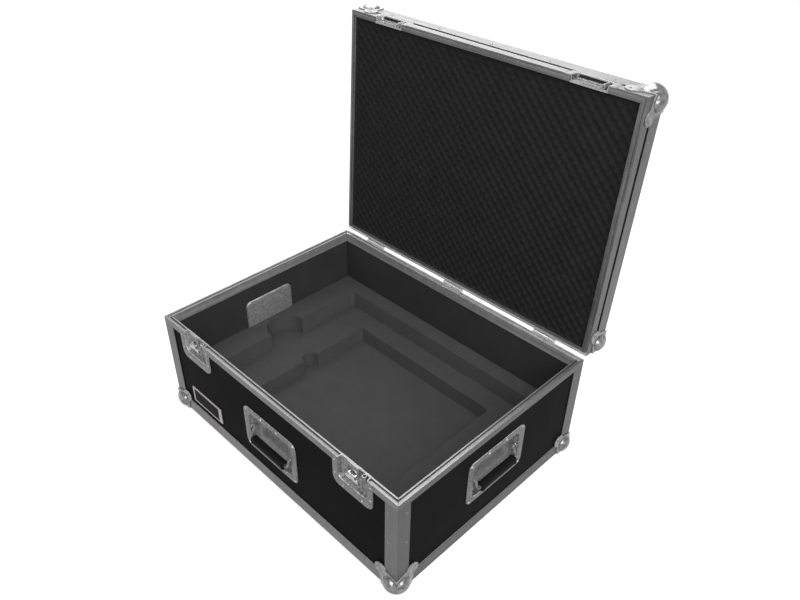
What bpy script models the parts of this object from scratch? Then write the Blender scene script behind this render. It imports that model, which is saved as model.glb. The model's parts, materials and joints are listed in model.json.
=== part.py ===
"""Lens flight case: a foam lined transport case with a hinged lid, as named sub-parts.

Units are metres. +X runs along the front to the right, +Y to the back and +Z up.
The origin is the middle of the flat under the front left ball corner, which the case stands on.
The lid stands open on its stop.
"""
import math

import bmesh
import bpy
from mathutils import Matrix, Vector

# Case box, over the aluminium sections
case_width = 0.700
case_depth = 0.520
base_height = 0.240
lid_height = 0.057
panel_thickness = 0.009
lid_open_degrees = 93.0

# Gaps between pieces
touch_gap = 0.0003
seat_gap = 0.0004
running_gap = 0.0004
cut_overrun = 0.010

# Aluminium sections
section_wall = 0.0015
angle_leg = 0.030
base_outer_flange = 0.0145
base_inner_flange = 0.022
lid_outer_flange = 0.019
lid_inner_flange = 0.015
groove_lip = 0.0032
groove_depth = 0.0035
tongue_side_clearance = 0.0009
tongue_tip_clearance = 0.0009

# Ball corners
ball_radius = 0.0265
ball_inset = 0.015
ball_flat_depth = 0.0008
petal_thickness = 0.002
petal_edge_reach = 0.036
petal_lobe_reach = 0.039
petal_lobe_radius = 0.014
petal_lobe_start_degrees = -15.0
petal_lobe_sweep_degrees = 240.0

# Pressed steel dishes
sheet_wall = 0.0015

# Recessed handles
handle_plate_width = 0.163
handle_plate_height = 0.108
handle_plate_corner = 0.016
handle_pan_width = 0.128
handle_pan_height = 0.083
handle_pan_corner = 0.012
handle_pan_drop = 0.002
handle_pan_depth = 0.0125
handle_pan_taper = 0.001
handle_cut_clearance = 0.002
front_handle_height = 0.117
side_handle_height = 0.138
bail_radius = 0.0035
bail_leg_inset = 0.0075
bail_stub_proud = 0.0008
bail_pivot_depth = 0.0053
bail_pivot_rise = 0.002
grip_drop = 0.021
grip_reach = 0.0100
grip_end_gap = 0.0035
grip_thickness = 0.017
grip_height = 0.020
grip_corner = 0.006
grip_end_chamfer = 0.002

# Butterfly latches in the base
latch_from_side = 0.110
latch_plate_width = 0.102
latch_plate_height = 0.069
latch_plate_corner = 0.016
latch_pan_width = 0.072
latch_pan_height = 0.049
latch_pan_corner = 0.006
latch_back_clearance = 0.0005
latch_axis_drop = 0.015
socket_offset = 0.026
socket_depth_in = 0.0048
socket_wall = 0.0018
socket_length = 0.010
locating_pin_radius = 0.0022
locating_pin_length = 0.006
locating_clearance = 0.0006
cam_radius = 0.008
cam_face_depth = 0.0049
cam_shaft_radius = 0.004
ear_outer = 0.0088
ear_inner = 0.0063
ear_half_height = 0.0021
wing_proud = 0.0003
wing_thickness = 0.0022
wing_hub_radius = 0.002
wing_pin_radius = 0.0011
wing_half_width = 0.016
wing_lobe_start = 0.0045
wing_length = 0.012
wing_notch_half_width = 0.004
wing_notch_depth = 0.003
hook_depth = 0.0048
hook_thickness = 0.0016
hook_half_width = 0.024
hook_leg_width = 0.0045
hook_neck_half_width = 0.016
hook_foot_drop = 0.0355
hook_foot_height = 0.0035
hook_shoulder_drop = 0.0155
hook_crossbar_height = 0.0035
hook_window_top_drop = 0.0045
hook_window_half_top = 0.0115
hook_lift = 0.004
hook_swing_out = 0.0034
claw_thickness = 0.0018

# Catches in the lid
catch_pan_height = 0.020
ledge_half_width = 0.014
ledge_start = 0.0012
ledge_thickness = 0.0018
ledge_length = 0.0023
post_wall = 0.0022
lip_overhang = 0.0004

# Hinges
hinge_from_side = 0.100
hinge_width = 0.054
hinge_axis_offset = 0.0045
hinge_knuckle_radius = 0.004
hinge_pin_radius = 0.002
hinge_leaf_height = 0.027
hinge_leaf_thickness = 0.0015
hinge_middle_share = 0.34
hinge_swing_clearance = 0.0006

# Label holder
label_width = 0.108
label_height = 0.042
label_from_side = 0.1205
label_centre_height = 0.0645
label_border = 0.005
label_corner = 0.003
label_recess = 0.0009

# Foam
foam_gap = 0.0005
foam_top_height = 0.112
pocket_side_margin = 0.072
pocket_end_margin = 0.049
pocket_depth = 0.0435
pocket_corner = 0.010
deep_pocket_corner = 0.006
deep_pocket_width = 0.399
deep_pocket_length = 0.324
deep_pocket_shift = 0.0065
deep_pocket_depth = 0.0375
finger_notch_radius = 0.046
small_notch_radius = 0.020
lid_foam_recess = 0.002

# Facet counts
corner_steps = 4
rod_sides = 10
pin_sides = 12
boss_sides = 20
notch_sides = 32
ball_subdivisions = 3
smooth_degrees = 40.0

# Worked out from the values above
half_width = case_width / 2
half_depth = case_depth / 2
panel_inset = section_wall + touch_gap
rim_width = panel_thickness + 2 * panel_inset
floor_z = ball_radius - ball_flat_depth - ball_inset
panel_z = floor_z + panel_inset
rim_z = floor_z + base_height
parting_z = rim_z + seat_gap
hinge_z = rim_z + seat_gap / 2
hinge_y = half_depth + hinge_axis_offset
rim_web_depth = groove_depth + section_wall
inner_face = panel_inset + panel_thickness
tongue_start = groove_lip + tongue_side_clearance
tongue_height = groove_depth - tongue_tip_clearance
latch_pan_back = rim_width - section_wall - latch_back_clearance
latch_pan_floor = latch_pan_back - sheet_wall
latch_pan_outer = latch_pan_width / 2 + sheet_wall
lip_depth = rim_width + lip_overhang
socket_hole_radius = locating_pin_radius + locating_clearance
socket_radius = socket_hole_radius + socket_wall
post_radius = locating_pin_radius + post_wall
catch_plate_height = lid_height - angle_leg - touch_gap
handle_pan_back = handle_pan_depth + sheet_wall
lid_angle = math.radians(lid_open_degrees)


# Solids

def mesh_from_bmesh(work):
    """Close a work mesh with its faces pointing outwards."""
    bmesh.ops.recalc_face_normals(work, faces=work.faces)
    mesh = bpy.data.meshes.new("solid")
    work.to_mesh(mesh)
    work.free()
    return mesh


def loft(loops, ring_shaped=False):
    """Skin equal loops of points one after the other; the ends are capped unless ring shaped."""
    work = bmesh.new()
    rows = [[work.verts.new(point) for point in loop] for loop in loops]
    pairs = list(zip(rows, rows[1:]))
    if ring_shaped:
        pairs.append((rows[-1], rows[0]))
    for first, second in pairs:
        count = len(first)
        for index in range(count):
            after = (index + 1) % count
            work.faces.new((first[index], first[after], second[after], second[index]))
    if not ring_shaped:
        work.faces.new(rows[0])
        work.faces.new(rows[-1])
    return mesh_from_bmesh(work)


def along(axis, point, height):
    """Place an outline's point on the plane at a height along X, Y or Z."""
    first, second = point
    if axis == "X":
        return (height, first, second)
    if axis == "Y":
        return (first, height, second)
    return (first, second, height)


def prism(outline, low, high, axis):
    """Extrude an outline along an axis between two heights."""
    return loft([[along(axis, point, height) for point in outline] for height in (low, high)])


def box(low, high):
    """A block between two corners."""
    outline = [(low[0], low[1]), (high[0], low[1]), (high[0], high[1]), (low[0], high[1])]
    return prism(outline, low[2], high[2], "Z")


def circle(radius, sides, centre=(0.0, 0.0)):
    """Corners of a regular polygon about a centre."""
    points = []
    for index in range(sides):
        angle = 2 * math.pi * (index + 0.5) / sides
        points.append((centre[0] + radius * math.cos(angle), centre[1] + radius * math.sin(angle)))
    return points


def cylinder(radius, low, high, axis, centre=(0.0, 0.0), sides=pin_sides):
    """A round bar along an axis, about a centre in the other two coordinates."""
    return prism(circle(radius, sides, centre), low, high, axis)


def rounded_rectangle(half_x, half_y, radius, centre=(0.0, 0.0), steps=corner_steps):
    """Outline of a rectangle with round corners."""
    radius = min(radius, half_x, half_y)
    points = []
    for quarter, (sign_x, sign_y) in enumerate(((1, 1), (-1, 1), (-1, -1), (1, -1))):
        for step in range(steps + 1):
            angle = math.pi / 2 * (quarter + step / steps)
            x = centre[0] + sign_x * (half_x - radius) + radius * math.cos(angle)
            y = centre[1] + sign_y * (half_y - radius) + radius * math.sin(angle)
            points.append((x, y))
    return points


def combine(target, tool, operation):
    """Union, difference or intersection of two closed meshes."""
    body = bpy.data.objects.new("body", target)
    cutter = bpy.data.objects.new("cutter", tool)
    for item in (body, cutter):
        bpy.context.collection.objects.link(item)
    change = body.modifiers.new("change", "BOOLEAN")
    change.operation = operation
    change.solver = "EXACT"
    change.object = cutter
    bpy.context.view_layer.update()
    shaped = body.evaluated_get(bpy.context.evaluated_depsgraph_get())
    result = bpy.data.meshes.new_from_object(shaped)
    for item in (body, cutter):
        bpy.data.objects.remove(item, do_unlink=True)
    return result


def joined(target, *tools):
    """Weld solids into one."""
    for tool in tools:
        target = combine(target, tool, "UNION")
    return target


def cut(target, *tools):
    """Take solids away from one."""
    for tool in tools:
        target = combine(target, tool, "DIFFERENCE")
    return target


def rod(points, radius, sides):
    """A round rod along a path, with mitred bends and flat ends."""
    path = [Vector(point) for point in points]
    directions = [(after - before).normalized() for before, after in zip(path, path[1:])]
    loops = []
    across = directions[0].orthogonal().normalized()
    for index, point in enumerate(path):
        before = directions[max(index - 1, 0)]
        after = directions[min(index, len(directions) - 1)]
        bisector = (before + after).normalized()
        if index > 0:
            across = across - after * across.dot(after)
            if across.length < radius:
                across = after.orthogonal()
            across.normalize()
        up = before.cross(across).normalized() if index == 0 else after.cross(across).normalized()
        loop = []
        for side in range(sides):
            angle = 2 * math.pi * side / sides
            spoke = across * math.cos(angle) * radius + up * math.sin(angle) * radius
            spoke = spoke - after * (spoke.dot(bisector) / after.dot(bisector))
            loop.append(point + spoke)
        loops.append(loop)
    return loft(loops)


# Placing

def make_material(name, colour, roughness, metallic):
    """A plain surface with a colour, roughness and metallic value."""
    material = bpy.data.materials.new(name)
    material.use_nodes = True
    surface = material.node_tree.nodes["Principled BSDF"]
    surface.inputs["Base Color"].default_value = (*colour, 1.0)
    surface.inputs["Roughness"].default_value = roughness
    surface.inputs["Metallic"].default_value = metallic
    return material


def place(name, mesh, material, where=(0.0, 0.0, 0.0), turn=(0.0, 0.0, 0.0), parent=None, smooth=False):
    """Put a named sub-part in the model."""
    mesh.name = name
    mesh.materials.clear()
    mesh.materials.append(material)
    if smooth:
        mesh.shade_smooth()
        mesh.set_sharp_from_angle(angle=math.radians(smooth_degrees))
    item = bpy.data.objects.new(name, mesh)
    bpy.context.collection.objects.link(item)
    item.location = where
    item.rotation_euler = turn
    item.parent = parent
    return item


def place_frame(name, where, turn=(0.0, 0.0, 0.0), parent=None):
    """An empty that carries a group of sub-parts."""
    item = bpy.data.objects.new(name, None)
    bpy.context.collection.objects.link(item)
    item.location = where
    item.rotation_euler = turn
    item.parent = parent
    return item


def face_turn(side):
    """Turn that brings a piece made for the front face to another face."""
    quarter_turns = {"front": 0, "right": 1, "rear": 2, "left": -1}[side]
    return (0.0, 0.0, quarter_turns * math.pi / 2)


def face_middle(side, height):
    """Middle of a face of the case box at a height."""
    middles = {
        "front": (0.0, -half_depth, height),
        "right": (half_width, 0.0, height),
        "rear": (0.0, half_depth, height),
        "left": (-half_width, 0.0, height),
    }
    return middles[side]


def face_half_length(side):
    """Half the length of a face, along the floor."""
    return half_width if side in ("front", "rear") else half_depth


def from_hinge(point):
    """A place in the closed lid, measured from the hinge axis."""
    return (point[0], point[1] - hinge_y, point[2] - hinge_z)


# Aluminium sections

def mitred_length(profile, half_length):
    """A section along a face, mitred at both ends; profile points are depth and height."""
    loops = []
    for sign in (-1, 1):
        loop = []
        for depth, height in profile:
            loop.append((sign * (half_length - depth - touch_gap / 2), depth, height))
        loops.append(loop)
    return loft(loops)


def mitred_frame(profile):
    """A section all round the case, in one closed frame."""
    loops = []
    for sign_x, sign_y in ((-1, -1), (1, -1), (1, 1), (-1, 1)):
        loop = []
        for depth, height in profile:
            loop.append((sign_x * (half_width - depth), sign_y * (half_depth - depth), height))
        loops.append(loop)
    return loft(loops, ring_shaped=True)


def base_rim_profile():
    """Grooved rim section over a panel's top edge; height 0 is the rim's top."""
    return [
        (0.0, -base_outer_flange),
        (0.0, 0.0),
        (groove_lip, 0.0),
        (groove_lip, -groove_depth),
        (rim_width - groove_lip, -groove_depth),
        (rim_width - groove_lip, 0.0),
        (rim_width, 0.0),
        (rim_width, -base_inner_flange),
        (rim_width - section_wall, -base_inner_flange),
        (rim_width - section_wall, -rim_web_depth),
        (section_wall, -rim_web_depth),
        (section_wall, -base_outer_flange),
    ]


def lid_rim_profile():
    """Tongued rim section under the lid's walls; height 0 is the parting face."""
    return [
        (0.0, lid_outer_flange),
        (0.0, 0.0),
        (tongue_start, 0.0),
        (tongue_start, -tongue_height),
        (rim_width - tongue_start, -tongue_height),
        (rim_width - tongue_start, 0.0),
        (rim_width, 0.0),
        (rim_width, lid_inner_flange),
        (rim_width - section_wall, lid_inner_flange),
        (rim_width - section_wall, section_wall),
        (section_wall, section_wall),
        (section_wall, lid_outer_flange),
    ]


def angle_profile(inwards_up):
    """Angle section on a horizontal edge: +1 for a bottom edge, -1 for a top edge."""
    return [
        (0.0, 0.0),
        (angle_leg, 0.0),
        (angle_leg, inwards_up * section_wall),
        (section_wall, inwards_up * section_wall),
        (section_wall, inwards_up * angle_leg),
        (0.0, inwards_up * angle_leg),
    ]


def upright_angle(length):
    """Angle section on an upright edge, whose corner is at the origin and legs run to -X and -Y."""
    outline = [
        (0.0, 0.0),
        (-angle_leg, 0.0),
        (-angle_leg, -section_wall),
        (-section_wall, -section_wall),
        (-section_wall, -angle_leg),
        (0.0, -angle_leg),
    ]
    return prism(outline, 0.0, length, "Z")


def latch_rim_cuts(sign, offset_y, pan_height):
    """Blocks that clear a rim for the latches; sign is the side of the rim that the dish covers."""
    blocks = []
    for centre in (-latch_centre_x(), latch_centre_x()):
        far = sign * (pan_height + cut_overrun)
        near = -sign * cut_overrun
        low, high = min(far, near), max(far, near)
        plate = latch_plate_width / 2 + touch_gap
        blocks.append(box((centre - plate, offset_y - cut_overrun, low),
                          (centre + plate, offset_y + panel_inset, high)))
        pan = latch_pan_outer + touch_gap
        blocks.append(box((centre - pan, offset_y - cut_overrun, low),
                          (centre + pan, offset_y + latch_pan_back + touch_gap, high)))
        lip = sign * (sheet_wall + touch_gap)
        blocks.append(box((centre - pan, offset_y - cut_overrun, min(lip, near)),
                          (centre + pan, offset_y + lip_depth + cut_overrun, max(lip, near))))
    return blocks


def latch_centre_x():
    """Distance of each latch from the case's middle."""
    return half_width - latch_from_side


# Panels

def handle_opening(panel_side):
    """Hole in a panel for a handle's pan, in the frame of that face."""
    half_x = handle_pan_width / 2 + sheet_wall + handle_cut_clearance
    half_z = handle_pan_height / 2 + sheet_wall + handle_cut_clearance
    height = handle_z(panel_side) - handle_pan_drop
    outline = rounded_rectangle(half_x, half_z, handle_pan_corner, (0.0, height))
    return prism(outline, -cut_overrun, inner_face + cut_overrun, "Y")


def handle_z(side):
    """Height of a handle's middle above the origin."""
    return floor_z + (front_handle_height if side == "front" else side_handle_height)


def upright_panel(side):
    """One wall of the base, in the frame of its own face."""
    if side in ("front", "rear"):
        half_length = half_width - panel_inset
    else:
        half_length = half_depth - inner_face - touch_gap
    top = rim_z - rim_web_depth - touch_gap
    bottom = panel_z + panel_thickness + touch_gap
    panel = box((-half_length, panel_inset, bottom), (half_length, inner_face, top))
    if side != "rear":
        panel = cut(panel, handle_opening(side))
    if side == "front":
        for centre in (-latch_centre_x(), latch_centre_x()):
            half_x = latch_pan_outer + touch_gap
            notch_z = rim_z - latch_pan_height - sheet_wall - touch_gap
            notch = box((centre - half_x, -cut_overrun, notch_z),
                        (centre + half_x, inner_face + cut_overrun, rim_z))
            panel = cut(panel, notch)
    return panel


def build_panels(laminate):
    """The five panels of the base."""
    half_x = half_width - panel_inset
    half_y = half_depth - panel_inset
    bottom = box((-half_x, -half_y, panel_z), (half_x, half_y, panel_z + panel_thickness))
    place("bottom_panel", bottom, laminate)
    for side in ("front", "rear", "left", "right"):
        place(side + "_panel", upright_panel(side), laminate, face_middle(side, 0.0), face_turn(side))


def build_base_sections(aluminium):
    """Bottom angles, upright corner angles and the grooved rim."""
    for side in ("front", "rear", "left", "right"):
        edge = mitred_length(angle_profile(1), face_half_length(side))
        place("bottom_edge_" + side, edge, aluminium, face_middle(side, floor_z), face_turn(side))
        rim = mitred_length(base_rim_profile(), face_half_length(side))
        if side == "front":
            rim = cut(rim, *latch_rim_cuts(-1, 0.0, latch_pan_height))
        place("base_rim_" + side, rim, aluminium, face_middle(side, rim_z), face_turn(side))
    bottom = floor_z + angle_leg + touch_gap
    length = rim_z - base_outer_flange - touch_gap - bottom
    corners = (("rear_right", 1, 1), ("rear_left", -1, 1), ("front_left", -1, -1), ("front_right", 1, -1))
    for quarter_turns, (name, sign_x, sign_y) in enumerate(corners):
        where = (sign_x * half_width, sign_y * half_depth, bottom)
        turn = (0.0, 0.0, quarter_turns * math.pi / 2)
        place("corner_angle_" + name, upright_angle(length), aluminium, where, turn)


# Ball corners

def petal(axis):
    """One lobed wing of a ball corner, on the face that looks along an axis."""
    edge = touch_gap + petal_thickness
    points = [(edge, edge), (edge, -petal_edge_reach)]
    steps = 2 * corner_steps
    for step in range(steps + 1):
        angle = math.radians(petal_lobe_start_degrees - petal_lobe_sweep_degrees * step / steps)
        points.append((-petal_lobe_reach + petal_lobe_radius * math.cos(angle),
                       -petal_lobe_reach + petal_lobe_radius * math.sin(angle)))
    points.append((-petal_edge_reach, edge))
    return prism(points, touch_gap, edge, axis)


def ball_corner():
    """A ball corner whose case corner is at the origin, with the case towards -X, -Y and -Z."""
    work = bmesh.new()
    bmesh.ops.create_icosphere(work, subdivisions=ball_subdivisions, radius=ball_radius)
    for direction in ((1, 0, 0), (0, 1, 0), (0, 0, 1)):
        normal = Vector(direction)
        geometry = work.verts[:] + work.edges[:] + work.faces[:]
        bmesh.ops.bisect_plane(work, geom=geometry, plane_co=normal * (ball_radius - ball_flat_depth),
                               plane_no=normal, clear_outer=True)
        open_edges = [edge for edge in work.edges if edge.is_boundary]
        bmesh.ops.contextual_create(work, geom=open_edges)
    bmesh.ops.translate(work, verts=work.verts, vec=Vector((-ball_inset, -ball_inset, -ball_inset)))
    ball = mesh_from_bmesh(work)
    ball = joined(ball, petal("X"), petal("Y"), petal("Z"))
    inside = -(petal_lobe_reach + petal_lobe_radius + cut_overrun)
    return cut(ball, box((inside, inside, inside), (touch_gap, touch_gap, touch_gap)))


def corner_turn(sign_x, sign_y, sign_z):
    """Turn that brings the ball corner to a corner of the case."""
    turn = Matrix.Diagonal((sign_x, sign_y, sign_z))
    if sign_x * sign_y * sign_z < 0:
        turn = turn @ Matrix(((0, 1, 0), (1, 0, 0), (0, 0, 1)))
    return turn.to_euler()


def build_ball_corners(steel, lid_frame):
    """Four ball corners under the base and four on the lid."""
    shape = ball_corner()
    top_z = parting_z + lid_height
    for front_name, sign_y in (("front", -1), ("rear", 1)):
        for side_name, sign_x in (("left", -1), ("right", 1)):
            name = "ball_corner_" + front_name + "_" + side_name
            where = (sign_x * half_width, sign_y * half_depth, floor_z)
            turn = corner_turn(sign_x, sign_y, -1)
            place(name, shape.copy(), steel, where, turn, smooth=True)
            where = from_hinge((sign_x * half_width, sign_y * half_depth, top_z))
            turn = corner_turn(sign_x, sign_y, 1)
            place("lid_" + name, shape.copy(), steel, where, turn, lid_frame, smooth=True)


# Recessed handles

def handle_dish():
    """Plate with a pressed pan and the two holes of the bail, about the plate's middle."""
    middle = (0.0, -handle_pan_drop)
    half_x = handle_pan_width / 2
    half_z = handle_pan_height / 2
    plate = rounded_rectangle(handle_plate_width / 2, handle_plate_height / 2, handle_plate_corner)
    corner = handle_pan_corner
    outer = rounded_rectangle(half_x + sheet_wall, half_z + sheet_wall, corner + sheet_wall, middle)
    mouth = rounded_rectangle(half_x, half_z, corner, middle)
    taper = handle_pan_taper
    pan_floor = rounded_rectangle(half_x - taper, half_z - taper, corner, middle)
    layers = [
        (outer, handle_pan_back),
        (outer, section_wall),
        (plate, section_wall),
        (plate, 0.0),
        (mouth, 0.0),
        (pan_floor, handle_pan_depth),
    ]
    dish = loft([[along("Y", point, depth) for point in outline] for outline, depth in layers])
    reach = half_x + cut_overrun
    hole = cylinder(bail_radius + touch_gap, -reach, reach, "X", (bail_pivot_depth, bail_pivot_rise))
    return cut(dish, hole)


def bail():
    """Bent rod of a handle, with its pivot axis through the origin."""
    end_x = handle_pan_width / 2 + sheet_wall + bail_stub_proud
    leg_x = handle_pan_width / 2 - bail_leg_inset
    half = [(end_x, 0.0, 0.0), (leg_x, 0.0, 0.0), (leg_x, -grip_reach, -grip_drop)]
    path = [(-x, y, z) for x, y, z in half] + half[::-1]
    return rod(path, bail_radius, rod_sides)


def grip():
    """Rubber sleeve on the bail's bar, about the bail's pivot axis."""
    middle = (-grip_reach, -grip_drop)
    half_length = handle_pan_width / 2 - bail_leg_inset - bail_radius - grip_end_gap
    half_y = grip_thickness / 2
    half_z = grip_height / 2
    small = rounded_rectangle(half_y - grip_end_chamfer, half_z - grip_end_chamfer,
                              grip_corner - grip_end_chamfer, middle)
    full = rounded_rectangle(half_y, half_z, grip_corner, middle)
    bore = circle(bail_radius + touch_gap, len(full), middle)
    layers = [
        (small, -half_length),
        (full, -half_length + grip_end_chamfer),
        (full, half_length - grip_end_chamfer),
        (small, half_length),
        (bore, half_length),
        (bore, -half_length),
    ]
    return loft([[along("X", point, x) for point in outline] for outline, x in layers], ring_shaped=True)


def build_handles(steel, dark_steel, rubber):
    """A spring handle in the front and in each side."""
    for side in ("front", "left", "right"):
        frame = place_frame("handle_frame_" + side, face_middle(side, handle_z(side)), face_turn(side))
        pivot = (0.0, bail_pivot_depth, bail_pivot_rise)
        place("handle_dish_" + side, handle_dish(), steel, parent=frame)
        place("handle_bail_" + side, bail(), dark_steel, pivot, parent=frame, smooth=True)
        place("handle_grip_" + side, grip(), rubber, pivot, parent=frame, smooth=True)


# Latches

def plate_outline(height_sign, height):
    """Latch plate outline from the parting line, with its two far corners cut."""
    half_x = latch_plate_width / 2
    corner = min(latch_plate_corner, height / 2)
    far = height_sign * height
    near_far = height_sign * (height - corner)
    return [
        (half_x, 0.0),
        (half_x, near_far),
        (half_x - corner / 3, height_sign * (height - corner / 3)),
        (half_x - corner, far),
        (-half_x + corner, far),
        (-half_x + corner / 3, height_sign * (height - corner / 3)),
        (-half_x, near_far),
        (-half_x, 0.0),
    ]


def latch_pan(height_sign, plate_height, pan_height):
    """Plate with an open topped pan and a lip over the rim, about the parting line."""
    far = height_sign * pan_height
    wall_far = height_sign * (pan_height + sheet_wall)
    lip_far = height_sign * sheet_wall
    plate = prism(plate_outline(height_sign, plate_height), 0.0, section_wall, "Y")
    pan = box((-latch_pan_outer, 0.0, min(0.0, wall_far)),
              (latch_pan_outer, latch_pan_back, max(0.0, wall_far)))
    lip = box((-latch_pan_outer, latch_pan_floor, min(0.0, lip_far)),
              (latch_pan_outer, lip_depth, max(0.0, lip_far)))
    half_x = latch_pan_width / 2
    near = -height_sign * (cut_overrun + latch_pan_corner)
    middle = (far + near) / 2
    hollow = prism(rounded_rectangle(half_x, abs(far - near) / 2, latch_pan_corner, (0.0, middle)),
                   -cut_overrun, latch_pan_floor, "Y")
    return cut(joined(plate, pan, lip), hollow)


def latch_dish():
    """Base half of a latch: dish, locating socket and the bearing hole of the cam."""
    dish = latch_pan(-1, latch_plate_height, latch_pan_height)
    place_in = (socket_offset, socket_depth_in)
    web = box((socket_offset - socket_wall, socket_depth_in + socket_hole_radius, -socket_length),
              (socket_offset + socket_wall, latch_pan_floor + sheet_wall / 2, 0.0))
    socket = cylinder(socket_radius, -socket_length, 0.0, "Z", place_in, boss_sides)
    dish = joined(dish, joined(socket, web))
    bore_end = -socket_length + socket_wall
    bore = cylinder(socket_hole_radius, bore_end, cut_overrun, "Z", place_in, boss_sides)
    bearing = cylinder(cam_shaft_radius + touch_gap, latch_pan_floor - cut_overrun / 2,
                       latch_pan_back + cut_overrun, "Y", (0.0, -latch_axis_drop), boss_sides)
    return cut(dish, bore, bearing)


def catch_dish():
    """Lid half of a latch: dish, ledge for the claw and the locating pin."""
    dish = latch_pan(1, catch_plate_height, catch_pan_height)
    ledge = box((-ledge_half_width, latch_pan_floor - ledge_length, ledge_start),
                (ledge_half_width, latch_pan_floor + sheet_wall / 2, ledge_start + ledge_thickness))
    place_in = (socket_offset, socket_depth_in)
    post = cylinder(post_radius, seat_gap, catch_pan_height + sheet_wall / 2, "Z", place_in, boss_sides)
    pin = cylinder(locating_pin_radius, -locating_pin_length, catch_pan_height, "Z", place_in, boss_sides)
    return joined(dish, ledge, joined(post, pin))


def latch_cam():
    """Turning boss of a latch: disc, shaft, two ears and the pin of the wing, about the turn axis."""
    disc = cylinder(cam_radius, cam_face_depth, latch_pan_floor - running_gap, "Y", sides=boss_sides)
    shaft = cylinder(cam_shaft_radius, cam_face_depth + running_gap, latch_pan_back - touch_gap, "Y",
                     sides=boss_sides)
    pin = cylinder(wing_pin_radius, -(ear_inner + ear_outer) / 2, (ear_inner + ear_outer) / 2, "X",
                   (-wing_proud, 0.0))
    cam = joined(disc, shaft)
    for sign in (-1, 1):
        near, far = sorted((sign * ear_inner, sign * ear_outer))
        ear = box((near, -wing_proud - ear_half_height, -ear_half_height),
                  (far, cam_face_depth + running_gap, ear_half_height))
        cam = joined(cam, ear)
    return joined(cam, pin)


def latch_wing():
    """Folding two lobed key of a latch, about its fold axis."""
    hub_half = ear_inner - running_gap
    top = 0.0
    start = -wing_lobe_start
    end = -wing_length
    quarter = (wing_length - wing_lobe_start) / 4
    outline = [
        (hub_half, top),
        (hub_half, start),
        (wing_half_width - quarter, start),
        (wing_half_width, start - quarter),
        (wing_half_width, end + quarter),
        (wing_half_width - quarter, end),
        (wing_notch_half_width, end),
        (0.0, end + wing_notch_depth),
        (-wing_notch_half_width, end),
        (-wing_half_width + quarter, end),
        (-wing_half_width, end + quarter),
        (-wing_half_width, start - quarter),
        (-wing_half_width + quarter, start),
        (-hub_half, start),
        (-hub_half, top),
    ]
    plate = prism(outline, -wing_thickness / 2, wing_thickness / 2, "Y")
    hub = cylinder(wing_hub_radius, -hub_half, hub_half, "X", sides=boss_sides)
    bore = cylinder(wing_pin_radius + touch_gap, -cut_overrun, cut_overrun, "X")
    return cut(joined(plate, hub), bore)


def latch_hook():
    """Claw plate of a latch in its locked place, about the parting line, with a window round the cam."""
    claw_low = seat_gap + ledge_start + ledge_thickness + touch_gap
    claw_top = claw_low + claw_thickness
    back = hook_depth + hook_thickness
    outline = [
        (hook_half_width, -hook_foot_drop),
        (hook_half_width, -hook_shoulder_drop),
        (hook_neck_half_width, -hook_shoulder_drop),
        (hook_neck_half_width, claw_top),
        (-hook_neck_half_width, claw_top),
        (-hook_neck_half_width, -hook_shoulder_drop),
        (-hook_half_width, -hook_shoulder_drop),
        (-hook_half_width, -hook_foot_drop),
    ]
    inner = hook_half_width - hook_leg_width
    window = [
        (inner, -hook_foot_drop + hook_foot_height),
        (inner, -hook_shoulder_drop - hook_crossbar_height),
        (hook_window_half_top, -hook_shoulder_drop - hook_crossbar_height),
        (hook_window_half_top, -hook_window_top_drop),
        (-hook_window_half_top, -hook_window_top_drop),
        (-hook_window_half_top, -hook_shoulder_drop - hook_crossbar_height),
        (-inner, -hook_shoulder_drop - hook_crossbar_height),
        (-inner, -hook_foot_drop + hook_foot_height),
    ]
    plate = prism(outline, hook_depth, back, "Y")
    plate = cut(plate, prism(window, -cut_overrun, back + cut_overrun, "Y"))
    claw_tip = latch_pan_floor - running_gap
    claw = box((-ledge_half_width, hook_depth + hook_thickness / 2, claw_low),
               (ledge_half_width, claw_tip, claw_top))
    return joined(plate, claw)


def build_latches(steel, bright_steel, lid_frame):
    """Two butterfly latches in the front and their catches in the lid."""
    for name, sign in (("left", -1), ("right", 1)):
        centre = (sign * latch_centre_x(), -half_depth, rim_z)
        frame = place_frame("latch_frame_" + name, centre)
        place("latch_dish_" + name, latch_dish(), steel, parent=frame)
        axis = (0.0, 0.0, -latch_axis_drop)
        place("latch_cam_" + name, latch_cam(), bright_steel, axis, parent=frame, smooth=True)
        fold = (0.0, -wing_proud, -latch_axis_drop)
        place("latch_wing_" + name, latch_wing(), bright_steel, fold, parent=frame, smooth=True)
        released = (0.0, -hook_swing_out, hook_lift)
        place("latch_hook_" + name, latch_hook(), bright_steel, released, parent=frame)
        catch_place = from_hinge((sign * latch_centre_x(), -half_depth, parting_z))
        place("catch_dish_" + name, catch_dish(), steel, catch_place, parent=lid_frame)


# Hinges

def leaf_outline(sign, flange, height):
    """Side outline of a hinge leaf: its plate on the rim and its foot on the panel."""
    near = sign * (hinge_knuckle_radius + hinge_swing_clearance)
    step = sign * (flange + touch_gap)
    far = sign * height
    face = touch_gap
    outer = face + hinge_leaf_thickness
    return [
        (face, near),
        (outer, near),
        (outer, far),
        (touch_gap - panel_inset, far),
        (touch_gap - panel_inset, step),
        (face, step),
    ]


def hinge_web(sign, low, high):
    """Strip of a leaf between its plate and a knuckle."""
    face = touch_gap
    end = sign * (hinge_knuckle_radius + 2 * hinge_swing_clearance)
    return box((low, face, min(0.0, end)), (high, face + hinge_leaf_thickness, max(0.0, end)))


def knuckle(low, high):
    """Round barrel about the hinge axis."""
    return cylinder(hinge_knuckle_radius, low, high, "X", (hinge_axis_offset, 0.0), boss_sides)


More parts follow.
